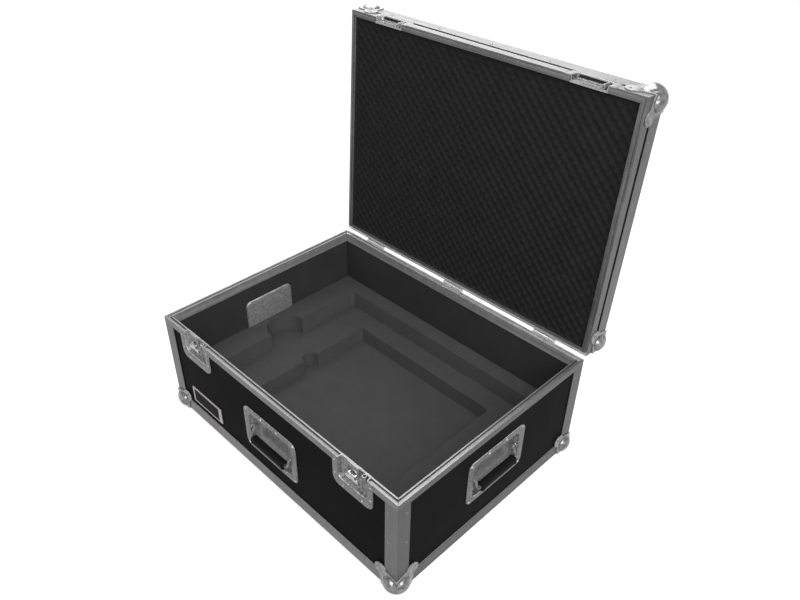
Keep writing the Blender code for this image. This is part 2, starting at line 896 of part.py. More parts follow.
def base_leaf():
    """Fixed hinge leaf with its two outer knuckles and the pin, about the axis height."""
    half = hinge_width / 2
    middle = hinge_width * hinge_middle_share / 2 + touch_gap
    leaf = prism(leaf_outline(-1, base_outer_flange, hinge_leaf_height), -half, half, "X")
    for low, high in ((-half, -middle), (middle, half)):
        leaf = joined(leaf, hinge_web(-1, low, high), knuckle(low, high))
    pin = cylinder(hinge_pin_radius, -half + touch_gap, half - touch_gap, "X", (hinge_axis_offset, 0.0))
    return joined(leaf, pin)


def lid_leaf():
    """Moving hinge leaf with its middle knuckle, about the axis height."""
    half = hinge_width / 2
    middle = hinge_width * hinge_middle_share / 2
    leaf = prism(leaf_outline(1, lid_outer_flange, catch_plate_height), -half, half, "X")
    leaf = joined(leaf, hinge_web(1, -middle, middle), knuckle(-middle, middle))
    bore = cylinder(hinge_pin_radius + touch_gap, -half, half, "X", (hinge_axis_offset, 0.0))
    return cut(leaf, bore)


def build_hinges(steel, lid_frame):
    """Three hinges on the rear rim."""
    outer = half_width - hinge_from_side
    for name, x in (("left", -outer), ("middle", 0.0), ("right", outer)):
        where = (x, half_depth, hinge_z)
        place("hinge_leaf_base_" + name, base_leaf(), steel, where, smooth=True)
        place("hinge_leaf_lid_" + name, lid_leaf(), steel, from_hinge(where), parent=lid_frame, smooth=True)


# Label holder

def build_label(frame_metal):
    """Holder on the front with a recess for a card."""
    half_x = label_width / 2
    half_z = label_height / 2
    recess_x = half_x - label_border
    recess_z = half_z - label_border
    layers = [
        (rounded_rectangle(half_x, half_z, label_corner), section_wall),
        (rounded_rectangle(half_x, half_z, label_corner), 0.0),
        (rounded_rectangle(recess_x, recess_z, label_corner / 2), 0.0),
        (rounded_rectangle(recess_x, recess_z, label_corner / 2), label_recess),
    ]
    holder = loft([[along("Y", point, depth) for point in outline] for outline, depth in layers])
    where = (-half_width + label_from_side, -half_depth, floor_z + label_centre_height)
    place("label_holder", holder, frame_metal, where)


# Foam

def pan_notches():
    """Blocks that clear the foam for the backs of the three handle pans."""
    blocks = []
    top = floor_z + foam_top_height + cut_overrun
    half = handle_pan_width / 2 + sheet_wall + foam_gap
    reach = handle_pan_back + foam_gap
    for side in ("left", "right"):
        bottom = handle_z(side) - handle_pan_drop - handle_pan_height / 2 - sheet_wall - foam_gap
        wall = half_width - reach
        outer = half_width
        low, high = (wall, outer) if side == "right" else (-outer, -wall)
        blocks.append(box((low, -half, bottom), (high, half, top)))
    bottom = handle_z("front") - handle_pan_drop - handle_pan_height / 2 - sheet_wall - foam_gap
    blocks.append(box((-half, -half_depth, bottom), (half, -half_depth + reach, top)))
    return blocks


def foam_sheet(low, high, pocket, pocket_low, notch_radius, notch_edges):
    """A foam sheet between two heights, with a pocket and round finger notches at some of its ends."""
    half_x = half_width - inner_face - foam_gap
    half_y = half_depth - inner_face - foam_gap
    sheet = box((-half_x, -half_y, low), (half_x, half_y, high))
    sheet = cut(sheet, prism(pocket, pocket_low, high + cut_overrun, "Z"))
    for x in notch_edges:
        notch = cylinder(notch_radius, pocket_low, high + cut_overrun, "Z", (x, 0.0), notch_sides)
        sheet = cut(sheet, notch)
    return sheet


def floor_foam():
    """The two sheets of the floor foam: the lower with the deep pocket, the upper with the wide one."""
    top = floor_z + foam_top_height
    step = top - pocket_depth
    deep = step - deep_pocket_depth
    deep_x = deep_pocket_width / 2
    middle = (deep_pocket_shift, 0.0)
    narrow = rounded_rectangle(deep_x, deep_pocket_length / 2, deep_pocket_corner, middle)
    bottom = panel_z + panel_thickness + touch_gap
    lower = foam_sheet(bottom, step, narrow, deep, small_notch_radius, (deep_pocket_shift - deep_x,))
    wide_x = half_width - pocket_side_margin
    wide = rounded_rectangle(wide_x, half_depth - pocket_end_margin, pocket_corner)
    seat = step + touch_gap
    upper = foam_sheet(seat, top, wide, step - cut_overrun, finger_notch_radius, (-wide_x, wide_x))
    return cut(lower, *pan_notches()), cut(upper, *pan_notches())


def build_foam(grey_foam, black_foam, lid_frame):
    """Pocket foam in the base and the pad in the lid."""
    lower, upper = floor_foam()
    place("foam_lower_sheet", lower, grey_foam)
    place("foam_upper_sheet", upper, grey_foam)
    half_x = half_width - rim_width - foam_gap
    half_y = half_depth - rim_width - foam_gap
    ceiling = parting_z + lid_height - inner_face - touch_gap
    middle = (0.0, 0.0, (parting_z + lid_foam_recess + ceiling) / 2)
    half_z = (ceiling - parting_z - lid_foam_recess) / 2
    pad = box((-half_x, -half_y, -half_z), (half_x, half_y, half_z))
    place("lid_foam", pad, black_foam, from_hinge(middle), parent=lid_frame)


# Lid

def lid_shell():
    """Plywood tray of the lid, closed pose, about the parting face."""
    half_x = half_width - panel_inset
    half_y = half_depth - panel_inset
    bottom = panel_inset
    top = lid_height - panel_inset
    tray = box((-half_x, -half_y, bottom), (half_x, half_y, top))
    hollow = box((-half_x + panel_thickness, -half_y + panel_thickness, bottom - cut_overrun),
                 (half_x - panel_thickness, half_y - panel_thickness, top - panel_thickness))
    tray = cut(tray, hollow)
    for sign in (-1, 1):
        centre = sign * latch_centre_x()
        half = latch_pan_outer + touch_gap
        notch = box((centre - half, -half_depth - cut_overrun, bottom - cut_overrun),
                    (centre + half, -half_depth + inner_face + cut_overrun,
                     catch_pan_height + sheet_wall + touch_gap))
        tray = cut(tray, notch)
    return tray


def build_lid(laminate, aluminium, lid_frame):
    """Tray, tongued rim and top angles of the lid."""
    place("lid_shell", lid_shell(), laminate, from_hinge((0.0, 0.0, parting_z)), parent=lid_frame)
    rim = cut(mitred_frame(lid_rim_profile()), *latch_rim_cuts(1, -half_depth, catch_pan_height))
    place("lid_rim", rim, aluminium, from_hinge((0.0, 0.0, parting_z)), parent=lid_frame)
    for side in ("front", "rear", "left", "right"):
        edge = mitred_length(angle_profile(-1), face_half_length(side))
        where = from_hinge(face_middle(side, parting_z + lid_height))
        place("lid_edge_" + side, edge, aluminium, where, face_turn(side), lid_frame)


# Assembly

def stand_on_front_left_foot():
    """Carry the whole case on a frame whose origin is the flat under the front left ball corner."""
    loose = [item for item in bpy.data.objects if item.parent is None]
    foot = (half_width - ball_inset, half_depth - ball_inset, 0.0)
    case_frame = place_frame("case_frame", foot)
    for item in loose:
        item.parent = case_frame


def main():
    for item in list(bpy.data.objects):
        bpy.data.objects.remove(item, do_unlink=True)
    laminate = make_material("black_laminate", (0.012, 0.012, 0.013), 0.45, 0.0)
    aluminium = make_material("aluminium", (0.62, 0.62, 0.63), 0.38, 1.0)
    steel = make_material("zinc_steel", (0.55, 0.55, 0.56), 0.35, 1.0)
    bright_steel = make_material("bright_steel", (0.72, 0.72, 0.73), 0.22, 1.0)
    dark_steel = make_material("bail_steel", (0.40, 0.40, 0.41), 0.35, 1.0)
    rubber = make_material("black_rubber", (0.018, 0.018, 0.018), 0.8, 0.0)
    label_metal = make_material("label_frame", (0.60, 0.56, 0.56), 0.4, 0.6)
    grey_foam = make_material("grey_foam", (0.060, 0.060, 0.060), 0.95, 0.0)
    black_foam = make_material("black_foam", (0.020, 0.020, 0.021), 0.95, 0.0)

    lid_frame = place_frame("lid_frame", (0.0, hinge_y, hinge_z), (-lid_angle, 0.0, 0.0))
    build_panels(laminate)
    build_base_sections(aluminium)
    build_ball_corners(steel, lid_frame)
    build_handles(steel, dark_steel, rubber)
    build_latches(steel, bright_steel, lid_frame)
    build_hinges(steel, lid_frame)
    build_label(label_metal)
    build_foam(grey_foam, black_foam, lid_frame)
    build_lid(laminate, aluminium, lid_frame)
    stand_on_front_left_foot()


main()
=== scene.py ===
"""Looks of the lens flight case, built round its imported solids.

Metres and +Z up, in the solids' own frame: +X runs along the front to the right, +Y to the back.
Pieces on a face are modelled about a point of that face, with +Y into the case. Lid pieces are
modelled in the closed lid, and then turned to where the lid stands at rest.
"""
import json
import math

import bmesh
import bpy
from mathutils import Matrix, Vector


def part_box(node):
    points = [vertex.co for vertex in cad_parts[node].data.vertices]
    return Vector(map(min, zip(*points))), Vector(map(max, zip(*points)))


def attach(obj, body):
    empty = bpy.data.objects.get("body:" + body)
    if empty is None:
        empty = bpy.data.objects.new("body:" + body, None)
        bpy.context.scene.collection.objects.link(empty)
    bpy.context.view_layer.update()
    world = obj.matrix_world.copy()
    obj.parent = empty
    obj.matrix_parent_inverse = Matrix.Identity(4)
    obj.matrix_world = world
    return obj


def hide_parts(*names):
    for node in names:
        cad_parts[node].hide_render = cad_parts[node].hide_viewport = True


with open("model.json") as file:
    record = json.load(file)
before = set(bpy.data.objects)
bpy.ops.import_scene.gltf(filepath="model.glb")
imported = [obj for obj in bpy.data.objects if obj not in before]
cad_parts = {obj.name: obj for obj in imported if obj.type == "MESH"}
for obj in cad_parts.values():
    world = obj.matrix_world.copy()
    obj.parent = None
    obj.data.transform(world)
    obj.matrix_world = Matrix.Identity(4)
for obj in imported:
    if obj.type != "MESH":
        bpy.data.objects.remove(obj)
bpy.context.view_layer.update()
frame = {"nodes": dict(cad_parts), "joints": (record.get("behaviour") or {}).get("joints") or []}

# Camera, from the middle of the case on the floor
camera_from_middle = (0.88707, -0.81876, 1.21036)
camera_azimuth_degrees = 45.345
camera_elevation_degrees = 36.54
camera_roll_degrees = -0.449
camera_lens = 33.881
camera_sensor = 36.0
camera_shift = (0.01605, 0.01421)

# Sections and sheets
rim_width = 0.0126
section_leg = 0.030
sheet_wall = 0.0015
seat_gap = 0.0004
touch_gap = 0.0003
cut_overrun = 0.010
edge_round = 0.0005
fine_round = 0.00025
fillet_share = 0.48
section_edge_round = 0.0004
weld_reach = 0.00001

# Recessed handles
handle_plate_width = 0.163
handle_plate_height = 0.108
handle_plate_corner = 0.016
handle_pan_width = 0.128
handle_pan_height = 0.083
handle_pan_corner = 0.012
handle_pan_drop = 0.002
handle_pan_depth = 0.0125
pan_taper = 0.001
mouth_round = 0.0016
pan_floor_round = 0.003
pan_side_tilt = 0.1
pan_back_round = 0.0035
bail_radius = 0.0035
bail_pivot_depth = 0.0053
bail_pivot_rise = 0.002
bail_leg_inset = 0.0075
bail_stub_proud = 0.0008
bail_bend_radius = 0.0055
grip_drop = 0.021
grip_reach = 0.0100
grip_end_gap = 0.0035
grip_thickness = 0.017
grip_height = 0.020
grip_corner = 0.007
grip_end_round = 0.0022
grip_collar_length = 0.004
grip_waist = 0.0008
spring_wire_radius = 0.00045
spring_turns = 2
spring_pitch = 0.00094
spring_stand_off = 0.0008
spring_tail = 0.011

# Butterfly latches
latch_plate_width = 0.102
latch_plate_height = 0.069
latch_plate_corner = 0.018
latch_pan_width = 0.072
latch_pan_height = 0.049
latch_pan_corner = 0.008
latch_pan_back = 0.0106
latch_axis_drop = 0.015
socket_offset = 0.026
socket_depth_in = 0.0048
socket_wall = 0.0018
socket_length = 0.010
locating_pin_radius = 0.0022
locating_pin_length = 0.006
locating_clearance = 0.0006
cam_radius = 0.008
cam_face_depth = 0.0049
cam_shaft_radius = 0.004
ear_outer = 0.0088
ear_inner = 0.0063
ear_half_height = 0.0021
wing_proud = 0.0003
wing_thickness = 0.0022
wing_hub_radius = 0.002
wing_pin_radius = 0.0011
wing_half_width = 0.016
wing_lobe_start = 0.0045
wing_length = 0.012
wing_notch_half_width = 0.004
wing_notch_depth = 0.003
hook_depth = 0.0048
hook_thickness = 0.0016
hook_half_width = 0.024
hook_leg_width = 0.0045
hook_neck_half_width = 0.016
hook_foot_drop = 0.0355
hook_foot_height = 0.0035
hook_shoulder_drop = 0.0155
hook_crossbar_height = 0.0035
hook_window_top_drop = 0.0045
hook_window_half_top = 0.0115
hook_corner = 0.002
hook_lift = 0.004
hook_swing_out = 0.0034
claw_thickness = 0.0018
catch_plate_height = 0.0267
catch_plate_corner = 0.010
socket_round = 0.0006
pin_tip_round = 0.0012
wing_corner = 0.0022
catch_pan_height = 0.020
ledge_half_width = 0.014
ledge_start = 0.0012
ledge_thickness = 0.0018
ledge_length = 0.0023
post_wall = 0.0022
catch_slot_inset = 0.004
lip_overhang = 0.0004
running_gap = 0.0004

# Ball corners
ball_radius = 0.0265
ball_inset = 0.015
ball_flat_depth = 0.0008
petal_thickness = 0.002
petal_edge_reach = 0.036
petal_lobe_reach = 0.039
petal_lobe_radius = 0.014
petal_lobe_start_degrees = -15.0
petal_lobe_sweep_degrees = 240.0
petal_chamfer = 0.012
petal_rim_area = 0.00012
petal_rim_tilt = 0.01
lobe_rivet_rise = 0.004

# Label holder
label_border = 0.0047
label_foot = 0.003
label_tab = 0.0105
label_rivet_end = 0.0045
label_rivet_radius = 0.0017
label_rivet_height = 0.0007
label_corner = 0.003
label_recess = 0.0009
card_thickness = 0.0003

# Foam
pocket_side_margin = 0.072
pocket_end_margin = 0.049
pocket_depth = 0.0435
pocket_corner = 0.010
deep_pocket_corner = 0.006
deep_pocket_width = 0.399
deep_pocket_length = 0.324
deep_pocket_shift = 0.0065
deep_pocket_depth = 0.0375
finger_notch_radius = 0.046
small_notch_radius = 0.020
foam_gap = 0.0005
foam_edge_round = 0.0018
crate_pitch = (0.0230, 0.0226)
crate_depth = 0.0037
crate_step = 0.0023
crate_border = 0.004
crate_power = 1.8

# Rivets
rivet_radius = 0.0030
rivet_height = 0.0012
small_rivet_radius = 0.0021
small_rivet_height = 0.0008
rivet_sink = 0.0003
handle_rivet_edge = 0.0065
handle_rivet_side = 0.0085
handle_top_rivets = 4
latch_rivet_side = 0.0060
latch_rivet_drops = (0.012, 0.044)
latch_rivet_foot = 0.024
latch_rivet_edge = 0.0070
upright_rivet_inset = 0.0215
upright_rivet_heights = (0.130, 0.206)
edge_rivet_drop = 0.021
edge_rivet_end = 0.085
edge_rivet_counts = {"front": 5, "rear": 5, "left": 4, "right": 4}
upright_rivet_counts = dict.fromkeys(edge_rivet_counts, 2)

# Finishes
along_x = (1.0, 0.0, 0.0)
forwards = (0.0, -1.0, 0.0)
upwards = (0.0, 0.0, 1.0)
facing_part = 0.5
drawn_stretch = 0.01
streak_share = 0.6
spangle_clouds = 0.45
foam_clouds = 0.6
wear_spread = (0.38, 0.62)
spangle_spread = (0.15, 0.75)
foam_spread = (0.25, 0.75)
# Painted shade on the ball corners: from faces that look this far down to faces that look up
painted_shade_spread = (-0.75, 0.10)
# Zinc tones: the side handles' plates are painted darker as painted shade, the pans paler as painted light,
# and the narrow top edges much paler as a painted highlight
zinc_and_painted_light_tones = {"zinc_steel": 0.72, "side_zinc_painted_shade": 0.58, "pan_zinc_painted_light": 1.25, "side_handle_pan_painted_light": 0.95, "painted_edge_highlight": 2.6}

# Studio
white = (1.0, 1.0, 1.0, 1.0)
world_light = (0.48, 0.48, 0.48, 1.0)
floor_size = 6.0
floor_thickness = 0.02
floor_bounce = (0.35, 0.35, 0.35, 1.0)
floor_colour = (0.55, 0.55, 0.55, 1.0)
floor_lift = 0.74

# Lamps: place from the case's middle, size and power; the sheens show in gloss only
lamps = {
    "overhead": ((-0.9, 1.0, 2.5), 1.6, 20.0),
    "sheen_high": ((-0.7, 0.7, 2.5), 2.2, 85.0),
    "sheen_low": ((-1.6, 1.6, 1.6), 2.6, 42.0),
    "sheen_front": ((0.65, -2.7, 0.45), 0.9, 16.0),
    "sheen_side": ((2.8, -0.5, 0.45), 0.9, 16.0),
    "key": ((2.0, -0.9, 2.6), 2.6, 80.0),
}

# Facet counts
corner_steps = 8
round_steps = 3
rod_sides = 20
spring_sides = 8
boss_sides = 40
notch_sides = 96
rivet_sides = 16
rivet_rings = 3
ball_subdivisions = 5
smooth_degrees = 35.0


# Places in the frame

def case_corners():
    """Lowest and highest corner of the case box, over the aluminium sections of the base."""
    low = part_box("corner_angle_front_left")[0]
    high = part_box("corner_angle_rear_right")[1]
    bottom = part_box("bottom_edge_front")[0].z
    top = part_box("base_rim_right")[1].z
    return Vector((low.x, low.y, bottom)), Vector((high.x, high.y, top))


def joint_named(name):
    """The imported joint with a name."""
    return next(joint for joint in frame["joints"] if joint["name"] == name)


case_low, case_high = case_corners()
case_middle = (case_low + case_high) / 2
half_width = (case_high.x - case_low.x) / 2
half_depth = (case_high.y - case_low.y) / 2
rim_z = case_high.z
parting_z = rim_z + seat_gap
hinge_point = Vector(joint_named("lid_hinge")["pos_m"])
lid_open = math.radians(joint_named("lid_hinge")["range_deg"][1])
lid_turn = (Matrix.Translation(hinge_point) @ Matrix.Rotation(-lid_open, 4, "X")
            @ Matrix.Translation(-hinge_point))
latch_pan_floor = latch_pan_back - sheet_wall
lid_height = catch_plate_height + section_leg + touch_gap


def face_pose(side, along, height):
    """Pose on a face of the base, at a distance from its middle to the right and a height."""
    turn = Matrix.Rotation({"front": 0, "right": 1, "rear": 2, "left": -1}[side] * math.pi / 2, 4, "Z")
    reach = half_depth if side in ("front", "rear") else half_width
    middle = Vector((case_middle.x, case_middle.y, height))
    return Matrix.Translation(middle) @ turn @ Matrix.Translation((along, -reach, 0.0))


def half_run(side):
    """Half the length of a side of the case."""
    return half_width if side in ("front", "rear") else half_depth


def handle_pose(side):
    """Pose at the middle of a handle's plate, on its face."""
    low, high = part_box("handle_dish_" + side)
    return face_pose(side, 0.0, (low.z + high.z) / 2)


def joint_pose(side, joint):
    """Pose at a joint's point, turned as a face is."""
    turn = face_pose(side, 0.0, 0.0).to_3x3().to_4x4()
    return Matrix.Translation(joint_named(joint)["pos_m"]) @ turn


def latch_along(name):
    """Distance of a latch from the case's middle, to the right."""
    low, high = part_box("latch_dish_" + name)
    return (low.x + high.x) / 2 - case_middle.x


# Outlines

def arc(centre, radius, start, end, steps):
    """Points on an arc between two angles."""
    angles = [start + (end - start) * step / steps for step in range(steps + 1)]
    return [(centre[0] + radius * math.cos(angle), centre[1] + radius * math.sin(angle)) for angle in angles]


def circle(radius, sides, centre=(0.0, 0.0)):
    """Corners of a regular polygon about a centre."""
    return arc(centre, radius, 0.0, 2 * math.pi, sides)[:-1]


def rounded_rectangle(half_x, half_y, radius, centre=(0.0, 0.0), steps=corner_steps):
    """Outline of a rectangle with round corners."""
    points = []
    for quarter, (sign_x, sign_y) in enumerate(((1, 1), (-1, 1), (-1, -1), (1, -1))):
        middle = (centre[0] + sign_x * (half_x - radius), centre[1] + sign_y * (half_y - radius))
        points += arc(middle, radius, quarter * math.pi / 2, (quarter + 1) * math.pi / 2, steps)
    return points


def corner_arc(before, corner, after, radius, most=1.0, steps=corner_steps):
    """Round bend at a corner; its ends lie at most a share of the way to the neighbours."""
    corner = Vector(corner)
    back = Vector(before) - corner
    ahead = Vector(after) - corner
    half_angle = back.angle(ahead) / 2
    reach = min(radius / math.tan(half_angle), most * back.length, most * ahead.length)
    fit = reach * math.tan(half_angle)
    centre = corner + (back.normalized() + ahead.normalized()).normalized() * fit / math.sin(half_angle)
    first, last = ((corner + way.normalized() * reach - centre).normalized() for way in (back, ahead))
    return [centre + fit * first.slerp(last, step / steps) for step in range(steps + 1)]


def filleted(corners, radius):
    """Outline through corners, each rounded by an arc that fits between its neighbours."""
    after = corners[1:] + corners[:1]
    around = zip(corners[-1:] + corners[:-1], corners, after)
    return [point for three in around for point in corner_arc(*three, radius, fillet_share)]


def bend(corners, radius):
    """A path in space through corners, with round bends."""
    path = [Vector(corners[0])]
    for three in zip(corners, corners[1:], corners[2:]):
        path += corner_arc(*three, radius)
    return path + [Vector(corners[-1])]


def both_sides(half):
    """Outline from its right half, with the left half as its mirror image."""
    return half + [(-x, y) for x, y in reversed(half) if x]


def quarter_round(radius, steps=round_steps):
    """Pairs from (0, radius) to (radius, 0): how far in and how far down a round edge has gone."""
    angles = [math.pi / 2 * step / steps for step in range(steps + 1)]
    return [(radius * (1 - math.cos(angle)), radius * (1 - math.sin(angle))) for angle in angles]


def inset_rectangle(half_x, half_y, corner, centre=(0.0, 0.0)):
    """Rectangle with round corners as a function of how far its outline has moved in."""
    return lambda inset: rounded_rectangle(half_x - inset, half_y - inset, corner - inset, centre)


# Meshes

def mesh_of(work):
    """Turn a work mesh into a mesh with its faces pointing outwards."""
    bmesh.ops.recalc_face_normals(work, faces=work.faces)
    mesh = bpy.data.meshes.new("shape")
    work.to_mesh(mesh)
    work.free()
    return mesh


def loft(loops, ring_shaped=False):
    """Skin equal loops one after the other; the ends are capped unless ring shaped."""
    work = bmesh.new()
    rows = [[work.verts.new(point) for point in loop] for loop in loops]
    following = rows[1:] + rows[:1] if ring_shaped else rows[1:]
    for first, second in zip(rows, following):
        for index in range(len(first)):
            after = (index + 1) % len(first)
            work.faces.new((first[index], first[after], second[after], second[index]))
    if not ring_shaped:
        work.faces.new(rows[0])
        work.faces.new(rows[-1])
    return mesh_of(work)


def along(axis, point, height):
    """Place an outline's point on the plane at a height along X, Y or Z."""
    place_in = list(point)
    place_in.insert("XYZ".index(axis), height)
    return place_in


def stack(layers, axis="Y", ring_shaped=False):
    """Skin outlines that lie at heights along an axis."""
    return loft([[along(axis, point, height) for point in outline] for outline, height in layers],
                ring_shaped)


def prism(outline, low, high, axis="Y"):
    """Extrude an outline along an axis."""
    return stack([(outline, low), (outline, high)], axis)


def box(low, high):
    """A block between two corners."""
    outline = [(low[0], low[1]), (high[0], low[1]), (high[0], high[1]), (low[0], high[1])]
    return prism(outline, low[2], high[2], "Z")


def cylinder(radius, low, high, axis, centre=(0.0, 0.0), sides=boss_sides):
    """A round bar along an axis."""
    return prism(circle(radius, sides, centre), low, high, axis)


def turned(profile, axis, centre=(0.0, 0.0), sides=boss_sides):
    """A turned solid: profile pairs are radius and height, from one end's rim to the other's."""
    return stack([(circle(radius, sides, centre), height) for radius, height in profile], axis)


def tube(path, radius, sides=rod_sides):
    """A round rod along a path, whose section doesn't twist."""
    around = zip(path[:1] + path, path[1:] + path[-1:])
    directions = [(after - before).normalized() for before, after in around]
    across = directions[0].orthogonal().normalized()
    loops = []
    for point, direction in zip(path, directions):
        across = (across - direction * across.dot(direction)).normalized()
        up = direction.cross(across)
        loops.append([point + across * x + up * y for x, y in circle(radius, sides)])
    return loft(loops)


def combine(operation, target, tools):
    """Union or difference of a closed mesh and others, one after the other."""
    for tool in tools:
        solids = [bpy.data.objects.new("solid", mesh) for mesh in (target, tool)]
        for item in solids:
            bpy.context.collection.objects.link(item)
        change = solids[0].modifiers.new("change", "BOOLEAN")
        change.operation = operation
        change.solver = "EXACT"
        change.object = solids[1]
        bpy.context.view_layer.update()
        evaluated = solids[0].evaluated_get(bpy.context.evaluated_depsgraph_get())
        target = bpy.data.meshes.new_from_object(evaluated)
        for item in solids:
            bpy.data.objects.remove(item, do_unlink=True)
    return target


def joined(target, *tools):
    """Weld solids into one."""
    return combine("UNION", target, tools)


def cut(target, *tools):
    """Take solids away from one."""
    return combine("DIFFERENCE", target, tools)


def gather(parts):
    """One mesh of separate copies; parts are pairs of a mesh and its pose."""
    work = bmesh.new()
    for shape, pose in parts:
        copy = shape.copy()
        copy.transform(pose)
        work.from_mesh(copy)
        bpy.data.meshes.remove(copy)
    return mesh_of(work)


# Finishes

finishes = {}


def new_finish(name, metallic, roughness, gloss=0.5):
    """Start a finish, and give its shader."""
    material = finishes[name] = bpy.data.materials.new(name)
    material.use_nodes = True
    shader = material.node_tree.nodes["Principled BSDF"]
    for socket, value in (("Metallic", metallic), ("Roughness", roughness), ("Specular IOR Level", gloss)):
        put(shader.inputs[socket], value)
    return shader


def put(socket, value):
    """Set a socket to a number or a colour, or join it to another node's output."""
    if isinstance(value, bpy.types.NodeSocket):
        socket.id_data.links.new(value, socket)
    else:
        socket.default_value = value


def node(near, kind, settings=(), **sockets):
    """Add a node where another node or socket is, and fill its sockets by name."""
    item = near.id_data.nodes.new("ShaderNode" + kind)
    for name, value in dict(settings).items():
        setattr(item, name, value)
    for name, value in sockets.items():
        put(item.inputs[name.replace("_", " ")], value)
    return item


def calculate(operation, first, second=0.0, kind="Math", result="Value"):
    """Result of a Math or VectorMath node on an output and another value."""
    item = node(first, kind, {"operation": operation})
    put(item.inputs[0], first)
    put(item.inputs[1], second)
    return item.outputs[result]


def mix(kind, factor, first, second):
    """Blend two numbers, kind FLOAT, or two colours, kind RGBA."""
    return node(first, "Mix", {"data_type": kind}, Factor=factor, A=first, B=second).outputs["Result"]


def own(near, kind):
    """The piece's own coordinates, kind Object, or its own Normal."""
    return node(near, "TexCoord").outputs[kind]


def upward(vector):
    """The Z part of a vector."""
    return node(vector, "SeparateXYZ", Vector=vector).outputs["Z"]


def noise(near, scale, detail=2.0, stretch=(1.0, 1.0, 1.0), roughness=0.5):
    """Noise in the piece's own coordinates, in cycles a metre, squeezed along each axis."""
    mapping = node(near, "Mapping", Vector=own(near, "Object"), Scale=stretch)
    texture = node(near, "TexNoise", Vector=mapping.outputs["Vector"], Scale=scale, Detail=detail,
                   Roughness=roughness)
    return texture.outputs["Fac"]


def cells(near, scale):
    """Cells in the piece's own coordinates, in cycles a metre."""
    return node(near, "TexVoronoi", Vector=own(near, "Object"), Scale=scale).outputs


def ramp(value, low, high, spread=(0.3, 0.7)):
    """Spread a value between two numbers or two colours."""
    if isinstance(low, tuple):
        item = node(value, "ValToRGB", Fac=value)
        for element, position, colour in zip(item.color_ramp.elements, spread, (low, high)):
            element.position = position
            element.color = (*colour, 1.0)
        return item.outputs["Color"]
    item = node(value, "MapRange", Value=value, From_Min=spread[0], From_Max=spread[1], To_Min=low,
                To_Max=high)
    return item.outputs["Result"]


def greys(low, high):
    """Two greys for a ramp."""
    return (low, low, low), (high, high, high)


def surface(shader, colour, relief, rough=None):
    """Set a shader's colour, its relief (map, metres, strength) and maybe its roughness (map, low, high)."""
    put(shader.inputs["Base Color"], colour)
    if rough:
        put(shader.inputs["Roughness"], ramp(*rough))
    height, distance, strength = relief
    bump = node(shader, "Bump", Height=height, Distance=distance, Strength=strength)
    put(shader.inputs["Normal"], bump.outputs["Normal"])


def inside_out(shader, outer, inner):
    """One colour where a surface looks away from the case's middle, and another where it looks to it; the
    finishes use it to paint the inside paler, as painted light against the shade in the case.
    """
    reach = calculate("SUBTRACT", own(shader, "Object"), case_middle, "VectorMath", "Vector")
    outwards = calculate("DOT_PRODUCT", reach, own(shader, "Normal"), "VectorMath")
    return mix("RGBA", calculate("LESS_THAN", outwards), outer, inner)


def looks_along(shader, direction, both_ways=False):
    """1 on surfaces that look along a direction, or also against it."""
    part = calculate("DOT_PRODUCT", own(shader, "Normal"), direction, "VectorMath")
    if both_ways:
        part = calculate("ABSOLUTE", part)
    return calculate("GREATER_THAN", part, facing_part)


def laminate_finish():
    """Black embossed laminate with faint rubbed patches; the case's ends are painted paler than its front and
    back as painted light, and the faces inside the case are a greyer lining painted much paler still, as
    painted light against the shade there.
    """
    shader = new_finish("black_laminate", 0.0, 0.42, 0.006)
    patches = noise(shader, scale=9.0, detail=4.0)
    grain = noise(shader, scale=900.0, detail=3.0)
    broad = ramp(patches, (0.0062, 0.0062, 0.0064), (0.0085, 0.0085, 0.0088))
    end = ramp(patches, (0.0080, 0.0080, 0.0083), (0.0109, 0.0109, 0.0113))
    painted_light_lining = ramp(patches, (0.0430, 0.0430, 0.0435), (0.0540, 0.0540, 0.0546))
    # Painted light: faces that look along X, at the case's ends, take the paler grey
    outer = mix("RGBA", looks_along(shader, along_x, both_ways=True), broad, end)
    # Painted light: faces that look into the case take the much paler grey, against their shade
    surface(shader, inside_out(shader, outer, painted_light_lining), (grain, 0.00012, 0.5), (grain, 0.36, 0.52))


def aluminium_finish(name, run, low, high, painted_inside_light=1.0, painted_end_shade=None, painted_lip_highlight=None, painted_hinge_light=None):
    """Mill finished aluminium, with drawing lines along its run and small scuffs, maybe painted paler inside
    as painted light against the shade in the case.

    Outer faces at the case's ends can be painted darker as painted shade, lips that look up can take a
    painted highlight, and the frame's face along the hinges can be painted paler as painted light.
    """
    shader = new_finish(name, 0.45, 0.42)
    stretch = tuple(drawn_stretch if axis in run else 1.0 for axis in "XYZ")
    lines = noise(shader, scale=1500.0, stretch=stretch)
    streaks = noise(shader, scale=330.0, detail=1.0, stretch=stretch)
    scuffs = noise(shader, scale=55.0, detail=5.0, roughness=0.65)
    wear = mix("FLOAT", streak_share, scuffs, streaks)

    def tone(share):
        return ramp(wear, *greys(low * share, high * share), wear_spread)

    colour = tone(1.0)
    # Painted shade: outer faces at the case's ends are darker
    if painted_end_shade:
        colour = mix("RGBA", looks_along(shader, along_x, both_ways=True), colour, tone(painted_end_shade))
    # Painted light: faces that look into the case are paler
    colour = inside_out(shader, colour, tone(painted_inside_light))
    # Painted highlight: lips that look up are paler
    if painted_lip_highlight:
        colour = mix("RGBA", looks_along(shader, upwards), colour, tone(painted_lip_highlight))
    # Painted light: the frame's face along the hinges, low down and looking forwards, is paler
    if painted_hinge_light:
        under = calculate("LESS_THAN", upward(own(shader, "Object")), hinge_point.z + rim_width)
        band = calculate("MULTIPLY", looks_along(shader, forwards), under)
        colour = mix("RGBA", band, colour, tone(painted_hinge_light))
    surface(shader, colour, (lines, 0.00004, 0.5), (lines, 0.36, 0.50))


